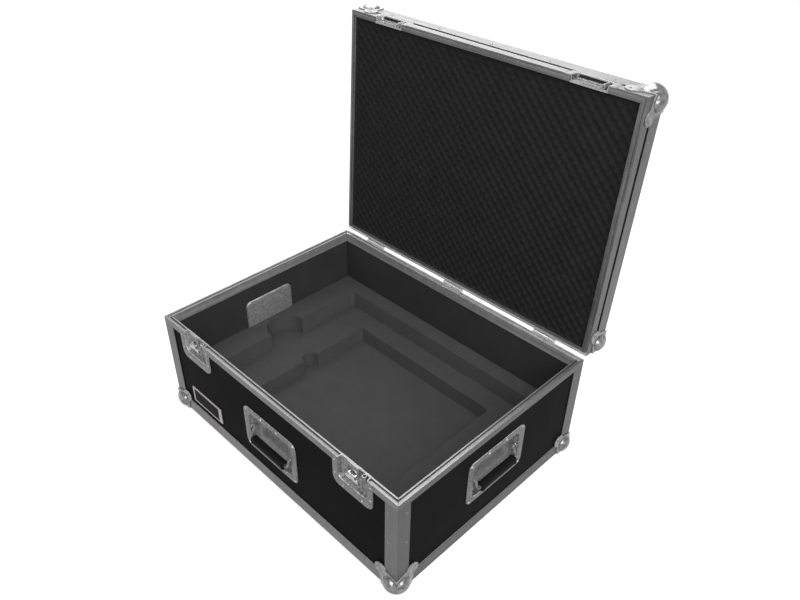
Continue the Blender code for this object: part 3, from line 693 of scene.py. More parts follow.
def zinc_finish(name, tone):
    """Zinc plated pressed steel with a mottled spangle, painted paler inside the case as painted light
    against the shade there.
    """
    shader = new_finish(name, 0.45, 0.40)
    clouds = noise(shader, scale=380.0, detail=3.0)
    spangle = mix("FLOAT", spangle_clouds, cells(shader, scale=290.0)["Color"], clouds)
    outer = ramp(spangle, *greys(0.100 * tone, 0.270 * tone))
    # Painted light: faces that look into the case take this much paler grey
    inner = ramp(spangle, *greys(0.29, 0.46))
    surface(shader, inside_out(shader, outer, inner), (clouds, 0.00006, 0.4),
            (spangle, 0.32, 0.46, spangle_spread))


def grained_finish(name, base, colours, relief, rough=None, **grain):
    """One grain for a finish's colour, relief and maybe roughness; base is what its shader starts with."""
    shader = new_finish(name, *base)
    pattern = noise(shader, **grain)
    surface(shader, ramp(pattern, *colours), (pattern, *relief), rough and (pattern, *rough))


def bright_finish(name, metallic, low, high):
    """Bright plated moving pieces, rivets and hinges, with hairline wear."""
    grained_finish(name, (metallic, 0.2), greys(low, high), (0.00003, 0.4), (0.16, 0.30),
                   scale=420.0, detail=4.0, roughness=0.6)


def rubber_finish():
    """Matt black moulded rubber with a fine pebble."""
    grained_finish("black_rubber", (0.0, 0.62, 0.03), greys(0.007, 0.013), (0.00015, 0.6), scale=1400.0)


def label_finish():
    """Pale lacquered frame of the label holder."""
    grained_finish("label_frame", (0.25, 0.38), ((0.36, 0.32, 0.33), (0.52, 0.47, 0.48)), (0.00004, 0.4),
                   scale=300.0, detail=4.0)


def card_finish():
    """Bare dark card in the label holder."""
    grained_finish("bare_card", (0.0, 0.55, 0.02), ((0.012, 0.011, 0.011), (0.020, 0.018, 0.018)),
                   (0.00006, 0.5), scale=700.0, detail=4.0, stretch=(1.0, 1.0, 0.3))


def corner_finish():
    """Pressed ball corners: nickel plated, glossier than the dishes, with worn patches, and painted shade on
    the faces that look down.
    """
    shader = new_finish("corner_steel", 0.75, 0.28)
    wear = noise(shader, scale=110.0, detail=3.0, roughness=0.6)
    # Painted shade: faces that look down are darker, faces that look up paler
    level = ramp(upward(own(shader, "Normal")), 0.0, 1.0, painted_shade_spread)
    painted_shade_grey = ramp(wear, *greys(0.025, 0.110))
    painted_lit_grey = ramp(wear, *greys(0.085, 0.290))
    surface(shader, mix("RGBA", level, painted_shade_grey, painted_lit_grey), (wear, 0.0002, 0.5), (wear, 0.12, 0.26))


def foam_finish(name, dark, light, painted_wall_light=1.0):
    """Open cell foam: fine cells over soft clouds; a painted wall light over 1 paints the walls paler, as
    painted light against their shade.
    """
    shader = new_finish(name, 0.0, 0.95, 0.05)
    pores = cells(shader, scale=620.0)["Distance"]
    grain = mix("FLOAT", foam_clouds, pores, noise(shader, scale=30.0, detail=4.0))
    skin, wall = (ramp(grain, *greys(dark * tone, light * tone), foam_spread) for tone in (1.0, painted_wall_light))
    level = calculate("ABSOLUTE", upward(own(shader, "Normal")))
    surface(shader, mix("RGBA", level, wall, skin), (pores, 0.0004, 0.5))


def add_finishes():
    """Every finish, with the tones that it has in places; many of these tones are painted light and painted
    shade.
    """
    laminate_finish()
    # The aluminium finishes are lighter and darker copies of one aluminium, their greys set part by part as
    # painted light and painted shade
    aluminium_finish("aluminium_x", "X", 0.092, 0.168, 3.0)
    aluminium_finish("aluminium_y", "Y", 0.078, 0.146, 3.5, painted_end_shade=0.48)
    aluminium_finish("aluminium_z", "Z", 0.082, 0.104, painted_end_shade=0.56)
    aluminium_finish("rim_rear", "X", 0.092, 0.168, 3.0, painted_lip_highlight=3.2)
    aluminium_finish("rim_side", "Y", 0.078, 0.146, 3.5, painted_end_shade=0.58, painted_lip_highlight=1.4)
    aluminium_finish("lid_edge_z", "Z", 0.072, 0.116)
    aluminium_finish("aluminium_frame", "XZ", 0.104, 0.170, painted_end_shade=0.66, painted_hinge_light=4.6)
    aluminium_finish("rivet_aluminium", "", 0.130, 0.180)
    for name, tone in zinc_and_painted_light_tones.items():
        zinc_finish(name, tone)
    bright_finish("bright_steel", 0.85, 0.30, 0.44)
    bright_finish("hinge_steel", 0.40, 0.52, 0.70)
    corner_finish()
    rubber_finish()
    label_finish()
    card_finish()
    # Painted light: the grey foam's walls are painted paler
    foam_finish("grey_foam", 0.064, 0.080, 1.45)
    foam_finish("black_foam", 0.0190, 0.0290)


# Putting pieces in the scene

def soften(item, width, segments=2):
    """Round an object's sharp edges."""
    change = item.modifiers.new("edges", "BEVEL")
    change.width = width
    change.segments = segments
    change.limit_method = "ANGLE"
    change.angle_limit = math.radians(smooth_degrees)
    change.harden_normals = True


def place(name, mesh, body, slot, pose=None, replaced=(), finish=None, edge=edge_round, others=()):
    """Put a piece on a body, with its finish, in place of the solids that it stands for.

    Each of the other finishes comes with a test of the faces that take it.
    """
    mesh.name = name
    mesh.materials.clear()
    mesh.materials.append(finishes[finish or slot])
    for index, (other, chosen) in enumerate(others, 1):
        mesh.materials.append(finishes[other])
        for face in mesh.polygons:
            if chosen(face):
                face.material_index = index
    if pose is not None:
        mesh.transform(pose)
    mesh.shade_smooth()
    mesh.set_sharp_from_angle(angle=math.radians(smooth_degrees))
    item = bpy.data.objects.new(name, mesh)
    bpy.context.collection.objects.link(item)
    if edge:
        soften(item, edge)
    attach(item, body)
    if replaced:
        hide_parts(*replaced)
    return item


# Dressing the solids that stay

def dress(name, finish, edge=section_edge_round):
    """Give a solid its finish and soft edges; its own mesh stays as it is."""
    item = frame["nodes"][name]
    for surface in item.material_slots:
        surface.material = finishes[finish]
    weld = item.modifiers.new("weld", "WELD")
    weld.merge_threshold = weld_reach
    soften(item, edge)


def dress_solids():
    """Panels, sections and hinges keep their solids."""
    for panel in ("bottom_panel", "front_panel", "rear_panel", "left_panel", "right_panel", "lid_shell"):
        dress(panel, "black_laminate", edge_round)
    for side, run in (("front", "x"), ("rear", "x"), ("left", "y"), ("right", "y")):
        dress("bottom_edge_" + side, "aluminium_" + run)
        dress("base_rim_" + side, {"front": "aluminium_x", "rear": "rim_rear"}.get(side, "rim_side"))
        dress("lid_edge_" + side, "aluminium_x" if run == "x" else "lid_edge_z", fine_round)
    for corner in ("front_left", "front_right", "rear_left", "rear_right"):
        dress("corner_angle_" + corner, "aluminium_z")
    dress("lid_rim", "aluminium_frame", fine_round)
    for name in ("left", "middle", "right"):
        dress("hinge_leaf_base_" + name, "hinge_steel", edge_round / 2)
        dress("hinge_leaf_lid_" + name, "hinge_steel", edge_round / 2)


# Pressed dishes

def pressed_dish(plate, plate_corner, pan, pan_corner, depth, drop=0.0):
    """Sheet plate with a pan pressed into it, about the plate's middle; plate and pan are half sizes."""
    plate_in = inset_rectangle(*plate, plate_corner)
    pan_in = inset_rectangle(*pan, pan_corner, (0.0, -drop))
    back = depth + sheet_wall
    layers = [(pan_in(inset - sheet_wall), back - down)
              for inset, down in reversed(quarter_round(pan_back_round))]
    layers += [(pan_in(-sheet_wall), sheet_wall), (plate_in(0.0), sheet_wall)]
    layers += [(plate_in(inset), down) for inset, down in quarter_round(edge_round)]
    layers += [(pan_in(-inset), down) for inset, down in reversed(quarter_round(mouth_round))]
    layers += [(pan_in(pan_taper + inset), depth - down) for inset, down in quarter_round(pan_floor_round)]
    return stack(layers)


# Handles

def pan_side(face):
    """True for the faces in a pressed pan, which look out and lie behind the plate: they are painted paler,
    as painted light in the recess.
    """
    return face.normal.y < pan_side_tilt and face.center.y > sheet_wall


def highlighted_top_edge(face):
    """True for the narrow edges that look up: the plate's top edge and the lower lip of its pan, which take a
    painted highlight.
    """
    return face.normal.z > facing_part and face.center.y < mouth_round


def latch_well(face):
    """True for a latch's faces in its pan, without the lip that lies on the rim: they are painted paler, as
    painted light in the recess.
    """
    return pan_side(face) and face.center.z < -sheet_wall


def handle_dish():
    """Plate and pan of a handle, with the two holes of the bail."""
    dish = pressed_dish((handle_plate_width / 2, handle_plate_height / 2), handle_plate_corner,
                        (handle_pan_width / 2, handle_pan_height / 2), handle_pan_corner,
                        handle_pan_depth, handle_pan_drop)
    reach = handle_pan_width / 2 + cut_overrun
    hole = cylinder(bail_radius + touch_gap, -reach, reach, "X", (bail_pivot_depth, bail_pivot_rise))
    return cut(dish, hole)


def bail():
    """Bent rod of a handle, with its pivot axis through the origin."""
    end_x = handle_pan_width / 2 + sheet_wall + bail_stub_proud
    leg_x = handle_pan_width / 2 - bail_leg_inset
    half = [(end_x, 0.0, 0.0), (leg_x, 0.0, 0.0), (leg_x, -grip_reach, -grip_drop)]
    return tube(bend([(-x, y, z) for x, y, z in half] + half[::-1], bail_bend_radius), bail_radius)


def grip():
    """Moulded rubber sleeve with a collar at each end, about the bail's pivot axis."""
    middle = (-grip_reach, -grip_drop)
    half_length = handle_pan_width / 2 - bail_leg_inset - bail_radius - grip_end_gap
    collar = half_length - grip_collar_length
    section = inset_rectangle(grip_thickness / 2, grip_height / 2, grip_corner, middle)
    stations = [(half_length - down, inset) for down, inset in quarter_round(grip_end_round)]
    stations += [(collar, 0.0), (collar - grip_waist, grip_waist)]
    stations = [(-x, inset) for x, inset in stations] + [(x, inset) for x, inset in reversed(stations)]
    bore = circle(bail_radius + touch_gap, len(section(0.0)), middle)
    layers = [(section(inset), x) for x, inset in stations] + [(bore, half_length), (bore, -half_length)]
    return stack(layers, "X", ring_shaped=True)


def torsion_spring(side):
    """Return spring of a handle: turns round the bail's stub and a tail up the pan's floor."""
    start = handle_pan_width / 2 - bail_leg_inset + bail_radius + spring_wire_radius + spring_stand_off
    coil = bail_radius + touch_gap + spring_wire_radius
    path = []
    for step in range(spring_turns * rod_sides + 1):
        angle = 2 * math.pi * step / rod_sides
        path.append(Vector((side * (start + spring_pitch * step / rod_sides),
                            coil * math.cos(angle), coil * math.sin(angle))))
    path.append(path[-1] + Vector((0.0, 0.0, spring_tail)))
    return tube(path, spring_wire_radius, spring_sides)


def build_handles():
    """The three spring handles."""
    for side in ("front", "left", "right"):
        pivot = joint_pose(side, side + "_handle_swing")
        body = side + "_handle"
        # Painted light and shade: the side handles' plates take a darker zinc, and every pan a paler one
        plate, pan = ("zinc_steel", "pan_zinc_painted_light") if side == "front" else ("side_zinc_painted_shade", "side_handle_pan_painted_light")
        place(side + "_handle_plate", handle_dish(), "base", "zinc_steel", handle_pose(side),
              ["handle_dish_" + side], plate, None,
              ((pan, pan_side), ("painted_edge_highlight", highlighted_top_edge)))
        place(side + "_bail_rod", bail(), body, "bright_steel", pivot, ["handle_bail_" + side], "zinc_steel",
              None)
        place(side + "_rubber_grip", grip(), body, "black_rubber", pivot, ["handle_grip_" + side], edge=None)
        for name, sign in (("first", -1), ("second", 1)):
            place(side + "_handle_spring_" + name, torsion_spring(sign), "base", "bright_steel", pivot,
                  edge=None)


# Latches

def half_dish(sign, plate_height, plate_corner, pan_height):
    """Dish of a latch or a catch, open at the parting line, with a lip over the rim."""
    dish = pressed_dish((latch_plate_width / 2, plate_height), plate_corner,
                        (latch_pan_width / 2, pan_height), latch_pan_corner, latch_pan_floor)
    reach = latch_plate_width
    low, high = sorted((0.0, -sign * reach))
    dish = cut(dish, box((-reach, -cut_overrun, low), (reach, reach, high)))
    lip_half = latch_pan_width / 2 + sheet_wall
    low, high = sorted((0.0, sign * sheet_wall))
    lip = box((-lip_half, latch_pan_floor, low), (lip_half, rim_width + lip_overhang, high))
    return joined(dish, lip)


def latch_dish():
    """Base half of a latch: dish, locating socket and the cam's bearing, about the parting line."""
    dish = half_dish(-1, latch_plate_height, latch_plate_corner, latch_pan_height)
    place_in = (socket_offset, socket_depth_in)
    hole = locating_pin_radius + locating_clearance
    web = box((socket_offset - socket_wall, socket_depth_in + hole, -socket_length),
              (socket_offset + socket_wall, latch_pan_floor + sheet_wall / 2, 0.0))
    ring = [(hole + socket_wall, -socket_length)]
    ring += [(hole + socket_wall - inset, -down) for inset, down in quarter_round(socket_round)]
    dish = joined(dish, joined(turned(ring, "Z", place_in), web))
    bore = cylinder(hole, -socket_length + socket_wall, cut_overrun, "Z", place_in)
    bearing = cylinder(cam_shaft_radius + touch_gap, latch_pan_floor - cut_overrun / 2,
                       latch_pan_back + cut_overrun, "Y", (0.0, -latch_axis_drop))
    return cut(dish, bore, bearing)


def catch_dish():
    """Lid half of a latch: dish, ledge for the claw and the locating pin."""
    dish = half_dish(1, catch_plate_height, catch_plate_corner, catch_pan_height)
    ledge = box((-ledge_half_width, latch_pan_floor - ledge_length, ledge_start),
                (ledge_half_width, latch_pan_floor + sheet_wall / 2, ledge_start + ledge_thickness))
    place_in = (socket_offset, socket_depth_in)
    pin = [(locating_pin_radius - inset, -locating_pin_length + down)
           for inset, down in reversed(quarter_round(pin_tip_round))]
    pin += [(locating_pin_radius, seat_gap), (locating_pin_radius + post_wall, seat_gap)]
    pin.append((locating_pin_radius + post_wall, catch_pan_height + sheet_wall / 2))
    slot_half = latch_pan_width / 2 - catch_slot_inset
    slot = box((-slot_half, catch_slot_inset / 2, catch_pan_height - cut_overrun / 2),
               (slot_half, latch_pan_floor - catch_slot_inset / 2, catch_pan_height + cut_overrun))
    return joined(cut(dish, slot), ledge, turned(pin, "Z", place_in))


def latch_cam():
    """Turning boss of a latch: disc, shaft, two ears and the pin of the wing, about the turn axis."""
    disc = [(cam_radius - inset, cam_face_depth + down)
            for inset, down in reversed(quarter_round(edge_round))]
    disc = turned(disc + [(cam_radius, latch_pan_floor - running_gap)], "Y")
    shaft = cylinder(cam_shaft_radius, cam_face_depth + running_gap, latch_pan_back - touch_gap, "Y")
    pin_half = (ear_inner + ear_outer) / 2
    cam = joined(disc, shaft)
    for sign in (-1, 1):
        low, high = sorted((sign * ear_inner, sign * ear_outer))
        ear = cylinder(ear_half_height, low, high, "X", (-wing_proud, 0.0))
        foot = box((low, -wing_proud, -ear_half_height),
                   (high, cam_face_depth + running_gap, ear_half_height))
        cam = joined(cam, ear, foot)
    return joined(cam, cylinder(wing_pin_radius, -pin_half, pin_half, "X", (-wing_proud, 0.0)))


def latch_wing():
    """Folding two lobed key of a latch, about its fold axis."""
    hub_half = ear_inner - running_gap
    start = -wing_lobe_start
    end = -wing_length
    outline = both_sides([
        (hub_half, 0.0),
        (hub_half, start),
        (wing_half_width, start),
        (wing_half_width, end),
        (wing_notch_half_width, end),
        (0.0, end + wing_notch_depth),
    ])
    plate = prism(filleted(outline, wing_corner), -wing_thickness / 2, wing_thickness / 2)
    hub = cylinder(wing_hub_radius, -hub_half, hub_half, "X")
    return cut(joined(plate, hub), cylinder(wing_pin_radius + touch_gap, -cut_overrun, cut_overrun, "X"))


def latch_hook():
    """Claw plate of a latch in its locked place, about the parting line, with a window round the cam."""
    claw_low = seat_gap + ledge_start + ledge_thickness + touch_gap
    claw_top = claw_low + claw_thickness
    back = hook_depth + hook_thickness
    outline = both_sides([
        (hook_half_width, -hook_foot_drop),
        (hook_half_width, -hook_shoulder_drop),
        (hook_neck_half_width, -hook_shoulder_drop),
        (hook_neck_half_width, claw_top),
    ])
    inner = hook_half_width - hook_leg_width
    crossbar = -hook_shoulder_drop - hook_crossbar_height
    window = both_sides([
        (inner, -hook_foot_drop + hook_foot_height),
        (inner, crossbar),
        (hook_window_half_top, crossbar),
        (hook_window_half_top, -hook_window_top_drop),
    ])
    plate = prism(filleted(outline, hook_corner), hook_depth, back)
    plate = cut(plate, prism(filleted(window, hook_corner), -cut_overrun, back + cut_overrun))
    claw = box((-ledge_half_width, hook_depth + hook_thickness / 2, claw_low),
               (ledge_half_width, latch_pan_floor - running_gap, claw_top))
    return joined(plate, claw)


def build_latches():
    """The two butterfly latches in the base and their catches in the lid."""
    for name in ("left", "right"):
        pose = face_pose("front", latch_along(name), rim_z)
        released = pose @ Matrix.Translation((0.0, -hook_swing_out, hook_lift))
        parting = lid_turn @ face_pose("front", latch_along(name), parting_z)
        # The latch's pan is painted paler as painted light, and its narrow top edges take a painted highlight
        place(name + "_latch_plate", latch_dish(), "base", "zinc_steel", pose, ["latch_dish_" + name],
              edge=fine_round, others=(("pan_zinc_painted_light", latch_well), ("painted_edge_highlight", highlighted_top_edge)))
        place(name + "_catch_plate", catch_dish(), "lid", "zinc_steel", parting, ["catch_dish_" + name],
              edge=fine_round)
        axis = pose @ Matrix.Translation((0.0, 0.0, -latch_axis_drop))
        place(name + "_cam_boss", latch_cam(), name + "_cam", "bright_steel", axis, ["latch_cam_" + name],
              edge=fine_round)
        fold = joint_pose("front", name + "_wing_fold")
        place(name + "_wing_key", latch_wing(), name + "_wing", "bright_steel", fold, ["latch_wing_" + name])
        place(name + "_claw_plate", latch_hook(), name + "_hook", "bright_steel", released,
              ["latch_hook_" + name], "zinc_steel", fine_round)


# Ball corners

def petal(axis):
    """One lobed wing of a ball corner, on the face that looks along an axis."""
    edge = touch_gap + petal_thickness
    lobe = (-petal_lobe_reach, -petal_lobe_reach)
    start = math.radians(petal_lobe_start_degrees)
    sweep = math.radians(petal_lobe_sweep_degrees)
    outline = [(-petal_chamfer, edge), (edge, -petal_chamfer), (edge, -petal_edge_reach)]
    outline += arc(lobe, petal_lobe_radius, start, start - sweep, boss_sides)
    outline.append((-petal_edge_reach, edge))
    return prism(outline, touch_gap, edge, axis)


def petal_rim(face):
    """True for the narrow faces round a ball corner's wings, which take a painted highlight."""
    sizes = [abs(value) for value in face.center]
    narrow = face.area < petal_rim_area and min(abs(value) for value in face.normal) < petal_rim_tilt
    return narrow and max(face.center) < petal_thickness > min(sizes) and min(face.center) < -petal_chamfer


def ball_corner():
    """A ball corner with pressed wings; the case's corner is at the origin, and the case on its low sides."""
    work = bmesh.new()
    bmesh.ops.create_icosphere(work, subdivisions=ball_subdivisions, radius=ball_radius)
    for direction in ((1, 0, 0), (0, 1, 0), (0, 0, 1)):
        normal = Vector(direction)
        bmesh.ops.bisect_plane(work, geom=work.verts[:] + work.edges[:] + work.faces[:],
                               plane_co=normal * (ball_radius - ball_flat_depth), plane_no=normal,
                               clear_outer=True)
        bmesh.ops.contextual_create(work, geom=[edge for edge in work.edges if edge.is_boundary])
    bmesh.ops.translate(work, verts=work.verts, vec=Vector((-ball_inset, -ball_inset, -ball_inset)))
    shape = joined(mesh_of(work), petal("X"), petal("Y"), petal("Z"))
    inside = -(petal_lobe_reach + petal_lobe_radius + cut_overrun)
    return cut(shape, box((inside, inside, inside), (touch_gap, touch_gap, touch_gap)))


def corner_turn(sign_x, sign_y, sign_z):
    """Turn that brings the ball corner to a corner of the case."""
    turn = Matrix.Diagonal((sign_x, sign_y, sign_z))
    if sign_x * sign_y * sign_z < 0:
        turn = turn @ Matrix(((0, 1, 0), (1, 0, 0), (0, 0, 1)))
    return turn.to_4x4()


def corner_poses():
    """Name, body and pose of the eight ball corners."""
    poses = []
    lid_top = parting_z + lid_height
    for front_name, sign_y in (("front", -1), ("rear", 1)):
        for side_name, sign_x in (("left", -1), ("right", 1)):
            name = "ball_corner_" + front_name + "_" + side_name
            x = case_middle.x + sign_x * half_width
            y = case_middle.y + sign_y * half_depth
            low = Matrix.Translation((x, y, case_low.z)) @ corner_turn(sign_x, sign_y, -1)
            high = lid_turn @ Matrix.Translation((x, y, lid_top)) @ corner_turn(sign_x, sign_y, 1)
            poses += [(name, "base", low), ("lid_" + name, "lid", high)]
    return poses


def build_ball_corners():
    """Eight pressed ball corners."""
    shape = ball_corner()
    for name, body, pose in corner_poses():
        # The wings' narrow rims take a painted highlight
        place("pressed_" + name, shape.copy(), body, "zinc_steel", pose, [name], "corner_steel",
              others=(("painted_edge_highlight", petal_rim),))


# Label holder

def build_label():
    """Holder with a raised frame, round a bare card."""
    low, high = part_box("label_holder")
    size = (high - low) / 2
    middle = (low + high) / 2
    pose = Matrix.Translation((middle.x, low.y, middle.z))

    def outline(inset):
        return rounded_rectangle(size.x - inset, size.z - inset, label_corner)

    window = ((label_border - label_tab) / 2, (label_foot - label_border) / 2)
    half_x = size.x - (label_border + label_tab) / 2
    half_z = size.z - (label_foot + label_border) / 2

    def recess(inset):
        return rounded_rectangle(half_x - inset, half_z - inset, label_corner / 2, window)

    layers = [(outline(0.0), sheet_wall)]
    layers += [(outline(inset), down) for inset, down in quarter_round(edge_round)]
    layers += [(recess(-inset), down) for inset, down in reversed(quarter_round(edge_round))]
    layers.append((recess(0.0), label_recess))
    place("label_frame", stack(layers), "base", "label_frame", pose, ["label_holder"], edge=None)
    card = prism(recess(touch_gap), label_recess - card_thickness, label_recess)
    place("blank_label_card", card, "base", "label_frame", pose, finish="bare_card", edge=card_thickness / 3)
    rivet_pose = Matrix.Translation((size.x - label_rivet_end, 0.0, 0.0))
    place("label_rivet", rivet(label_rivet_radius, label_rivet_height), "base", "label_frame",
          pose @ rivet_pose, edge=None)


# Foam

def floor_foam():
    """Both sheets of the floor foam in one body, with the stepped pocket and its finger notches."""
    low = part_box("foam_lower_sheet")[0]
    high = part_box("foam_upper_sheet")[1]
    step = high.z - pocket_depth
    deep = step - deep_pocket_depth
    foam = box(low, high)
    wide_x = half_width - pocket_side_margin
    wide_y = half_depth - pocket_end_margin
    outlines = [(rounded_rectangle(wide_x, wide_y, pocket_corner, (case_middle.x, case_middle.y)), step)]
    for x in (case_middle.x - wide_x, case_middle.x + wide_x):
        outlines.append((circle(finger_notch_radius, notch_sides, (x, case_middle.y)), step))
    middle = (case_middle.x + deep_pocket_shift, case_middle.y)
    deep_x = deep_pocket_width / 2
    outlines.append((rounded_rectangle(deep_x, deep_pocket_length / 2, deep_pocket_corner, middle), deep))
    outlines.append((circle(small_notch_radius, notch_sides, (middle[0] - deep_x, middle[1])), deep))
    for outline, bottom in outlines:
        foam = cut(foam, prism(outline, bottom, high.z + cut_overrun, "Z"))
    for side in ("front", "left", "right"):
        pan = handle_pose(side) @ Matrix.Translation((0.0, 0.0, -handle_pan_drop))
        half_x = handle_pan_width / 2 + sheet_wall + foam_gap
        half_z = handle_pan_height / 2 + sheet_wall + foam_gap
        block = box((-half_x, 0.0, -half_z),
                    (half_x, handle_pan_depth + sheet_wall + foam_gap, half_z + case_high.z))
        block.transform(pan)
        foam = cut(foam, block)
    return foam


def lid_foam():
    """Egg crate pad of the lid: rows of pits between peaks at the face, about the closed lid."""
    low, high = pad_box()
    count_x, count_y = (round((high[axis] - low[axis]) / crate_step) for axis in range(2))

    def peak(x, y):
        wave = math.cos(2 * math.pi * x / crate_pitch[0]) * math.cos(2 * math.pi * y / crate_pitch[1])
        fade = min(1.0, min(x - low.x, high.x - x, y - low.y, high.y - y) / crate_border)
        return crate_depth * fade * (1.0 - (0.5 + 0.5 * wave) ** crate_power)

    work = bmesh.new()
    across = [low.x + (high.x - low.x) * i / count_x for i in range(count_x + 1)]
    up = [low.y + (high.y - low.y) * j / count_y for j in range(count_y + 1)]
    rows = [[work.verts.new((x, y, low.z + peak(x, y))) for x in across] for y in up]
    for before, after in zip(rows, rows[1:]):
        for i in range(count_x):
            work.faces.new((before[i], before[i + 1], after[i + 1], after[i]))
    rim = rows[0] + [row[-1] for row in rows[1:-1]] + rows[-1][::-1] + [row[0] for row in rows[-2:0:-1]]
    top = [work.verts.new((vert.co.x, vert.co.y, high.z)) for vert in rim]
    for index in range(len(rim)):
        after = (index + 1) % len(rim)
        work.faces.new((rim[index], rim[after], top[after], top[index]))
    work.faces.new(top)
    return mesh_of(work)


def pad_box():
    """Corners of the lid's foam in the closed lid."""
    closed = lid_turn.inverted()
    points = [closed @ vert.co for vert in frame["nodes"]["lid_foam"].data.vertices]
    low = Vector([min(point[axis] for point in points) for axis in range(3)])
    high = Vector([max(point[axis] for point in points) for axis in range(3)])
    return low, high


def build_foam():
    """Floor foam and lid pad."""
    floor = place("floor_foam", floor_foam(), "base", "grey_foam",
                  replaced=["foam_lower_sheet", "foam_upper_sheet"], edge=foam_edge_round)
    pad = place("egg_crate_pad", lid_foam(), "lid", "black_foam", lid_turn, ["lid_foam"], edge=None)


# Rivets

def rivet(radius, height):
    """Domed rivet head on a face, looking to -Y, sunk a little into it."""
    profile = [(radius, rivet_sink), (radius, 0.0)]
    for step in range(1, rivet_rings + 1):
        angle = math.pi / 2 * step / (rivet_rings + 0.5)
        profile.append((radius * math.cos(angle), -height * math.sin(angle)))
    return turned(profile, "Y", sides=rivet_sides)


def rivet_rows(pose, rows):
    """Poses of rivets on a face, in even rows that each have a half length, a height and a count."""
    return [pose @ Matrix.Translation((-reach + 2 * reach * index / (count - 1), 0.0, height))
            for reach, height, count in rows for index in range(count)]


def handle_rivets(side):
    """Rivets of a handle's plate."""
    reach = handle_plate_width / 2 - handle_rivet_side
    top = handle_plate_height / 2 - handle_rivet_edge
    return rivet_rows(handle_pose(side), [(reach, top, handle_top_rivets), (reach, -top, 2)])


def latch_rivets(name):
    """Rivets of a latch's plate."""
    rows = [(latch_plate_width / 2 - latch_rivet_side, -drop, 2) for drop in latch_rivet_drops]
    rows.append((latch_rivet_foot, latch_rivet_edge - latch_plate_height, 2))
    return rivet_rows(face_pose("front", latch_along(name), rim_z), rows)


def section_rivets(end, height, counts):
    """Rivets along the sections round the case, at a height and up to a distance from its edges."""
    return [pose for side, count in counts.items()
            for pose in rivet_rows(face_pose(side, 0.0, 0.0), [(half_run(side) - end, height, count)])]


def lobe_rivets(body):
    """Rivets in the middle of each lobe of a body's ball corners."""
    turns = (Matrix.Rotation(math.pi / 2, 4, "Z"), Matrix.Rotation(math.pi, 4, "Z"),
             Matrix.Rotation(-math.pi / 2, 4, "X"))
    lobe = -petal_lobe_reach - lobe_rivet_rise
    face = touch_gap + petal_thickness
    spots = ((face, lobe, lobe), (lobe, face, lobe), (lobe, lobe, face))
    return [pose @ Matrix.Translation(spot) @ turn
            for name, owner, pose in corner_poses() if owner == body
            for spot, turn in zip(spots, turns)]


def build_rivets():
    """Rivet heads of the base and the lid."""
    head = rivet(rivet_radius, rivet_height)
    small = rivet(small_rivet_radius, small_rivet_height)
    base = section_rivets(edge_rivet_end, case_low.z + edge_rivet_drop, edge_rivet_counts)
    for height in upright_rivet_heights:
        base += section_rivets(upright_rivet_inset, case_low.z + height, upright_rivet_counts)
    lid = section_rivets(edge_rivet_end, parting_z + lid_height - edge_rivet_drop, edge_rivet_counts)
    lid = [lid_turn @ pose for pose in lid]
    dishes = [(head, pose) for side in ("front", "left", "right") for pose in handle_rivets(side)]
    dishes += [(small, pose) for name in ("left", "right") for pose in latch_rivets(name)]
    for body, poses in (("base", base), ("lid", lid)):
        heads = gather([(head, pose) for pose in poses + lobe_rivets(body)])
        place(body + "_rivets", heads, body, "aluminium", finish="rivet_aluminium", edge=None)
    place("dish_rivets", gather(dishes), "base", "bright_steel", edge=None)


# Studio

def add_camera():
    """Camera at the photograph's angle."""
    azimuth = math.radians(camera_azimuth_degrees)
    elevation = math.radians(camera_elevation_degrees)
    forward = Vector((-math.sin(azimuth) * math.cos(elevation), math.cos(azimuth) * math.cos(elevation),
                      -math.sin(elevation)))
    turn = forward.to_track_quat("-Z", "Y").to_matrix().to_4x4()
    roll = Matrix.Rotation(math.radians(-camera_roll_degrees), 4, "Z")
    data = bpy.data.cameras.new("camera")
    data.sensor_width = camera_sensor
    data.lens = camera_lens
    data.shift_x, data.shift_y = camera_shift
    camera = bpy.data.objects.new("camera", data)
    bpy.context.collection.objects.link(camera)
    floor_middle = Vector((case_middle.x, case_middle.y, 0.0))
    camera.matrix_world = Matrix.Translation(floor_middle + Vector(camera_from_middle)) @ turn @ roll
    bpy.context.scene.camera = camera


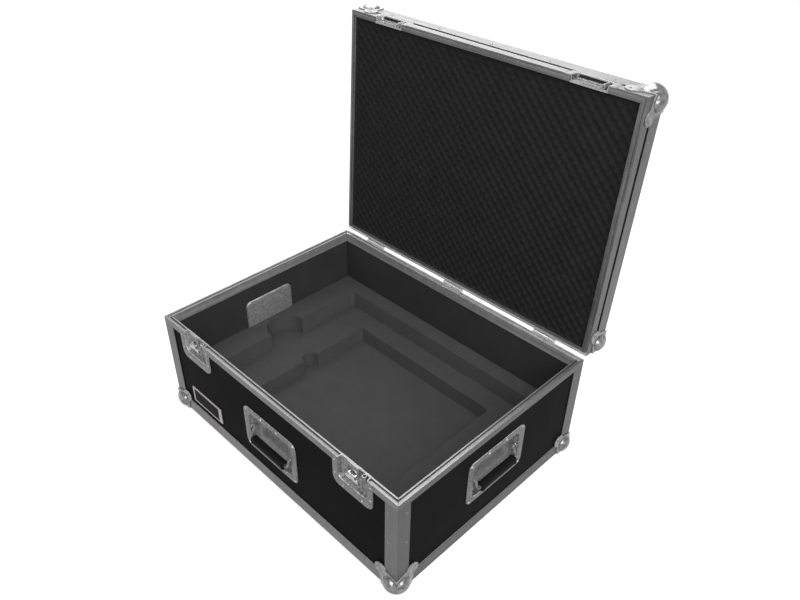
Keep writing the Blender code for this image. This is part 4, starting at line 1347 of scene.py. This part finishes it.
def add_lamp(name, from_middle, size, power):
    """A soft square lamp aimed at the case's middle; a sheen is seen in gloss only."""
    data = bpy.data.lights.new(name, "AREA")
    data.shape = "SQUARE"
    data.size = size
    data.energy = power
    lamp = bpy.data.objects.new(name, data)
    bpy.context.collection.objects.link(lamp)
    lamp.location = case_middle + Vector(from_middle)
    lamp.rotation_euler = (case_middle - lamp.location).to_track_quat("-Z", "Y").to_euler()
    lamp.visible_diffuse = lamp.visible_camera = not name.startswith("sheen")


def seen_or_not(near, hidden, shown):
    """1 for rays that show the background (camera, gloss, glass), and a colour that differs for them."""
    rays = node(near, "LightPath").outputs
    seen = calculate("MAXIMUM", rays["Is Camera Ray"], rays["Is Glossy Ray"])
    seen = calculate("MAXIMUM", seen, rays["Is Transmission Ray"])
    colour = node(near, "Mix", {"data_type": "RGBA"}, Factor=seen, A=hidden, B=shown)
    return seen, colour.outputs["Result"]


def add_world():
    """White background, and an even grey light on the object."""
    world = bpy.data.worlds.new("world")
    bpy.context.scene.world = world
    world.use_nodes = True
    background = world.node_tree.nodes["Background"]
    put(background.inputs["Color"], seen_or_not(background, world_light, white)[1])
    put(background.inputs["Strength"], 1.0)


def add_floor():
    """Pale floor that takes the object's shadow."""
    mesh = prism(rounded_rectangle(floor_size, floor_size, floor_size / 2), -floor_thickness, 0.0, "Z")
    shader = new_finish("studio_floor", 0.0, 1.0)
    seen, colour = seen_or_not(shader, floor_bounce, floor_colour)
    both = node(shader, "AddShader")
    put(both.inputs[0], node(shader, "BsdfDiffuse", Color=colour).outputs[0])
    put(both.inputs[1], node(shader, "Emission", Strength=calculate("MULTIPLY", seen, floor_lift)).outputs[0])
    put(shader.id_data.nodes["Material Output"].inputs["Surface"], both.outputs[0])
    shader.id_data.nodes.remove(shader)
    mesh.materials.append(finishes["studio_floor"])
    floor = bpy.data.objects.new("studio_floor", mesh)
    bpy.context.collection.objects.link(floor)
    floor.location = (case_middle.x, case_middle.y, -touch_gap)


def build_studio():
    """Camera, lamps, world and floor."""
    add_world()
    add_floor()
    for name, (from_middle, size, power) in lamps.items():
        add_lamp(name, from_middle, size, power)
    bpy.context.scene.view_settings.view_transform = "Standard"


add_camera()
add_finishes()
dress_solids()
build_handles()
build_latches()
build_ball_corners()
build_label()
build_foam()
build_rivets()
build_studio()
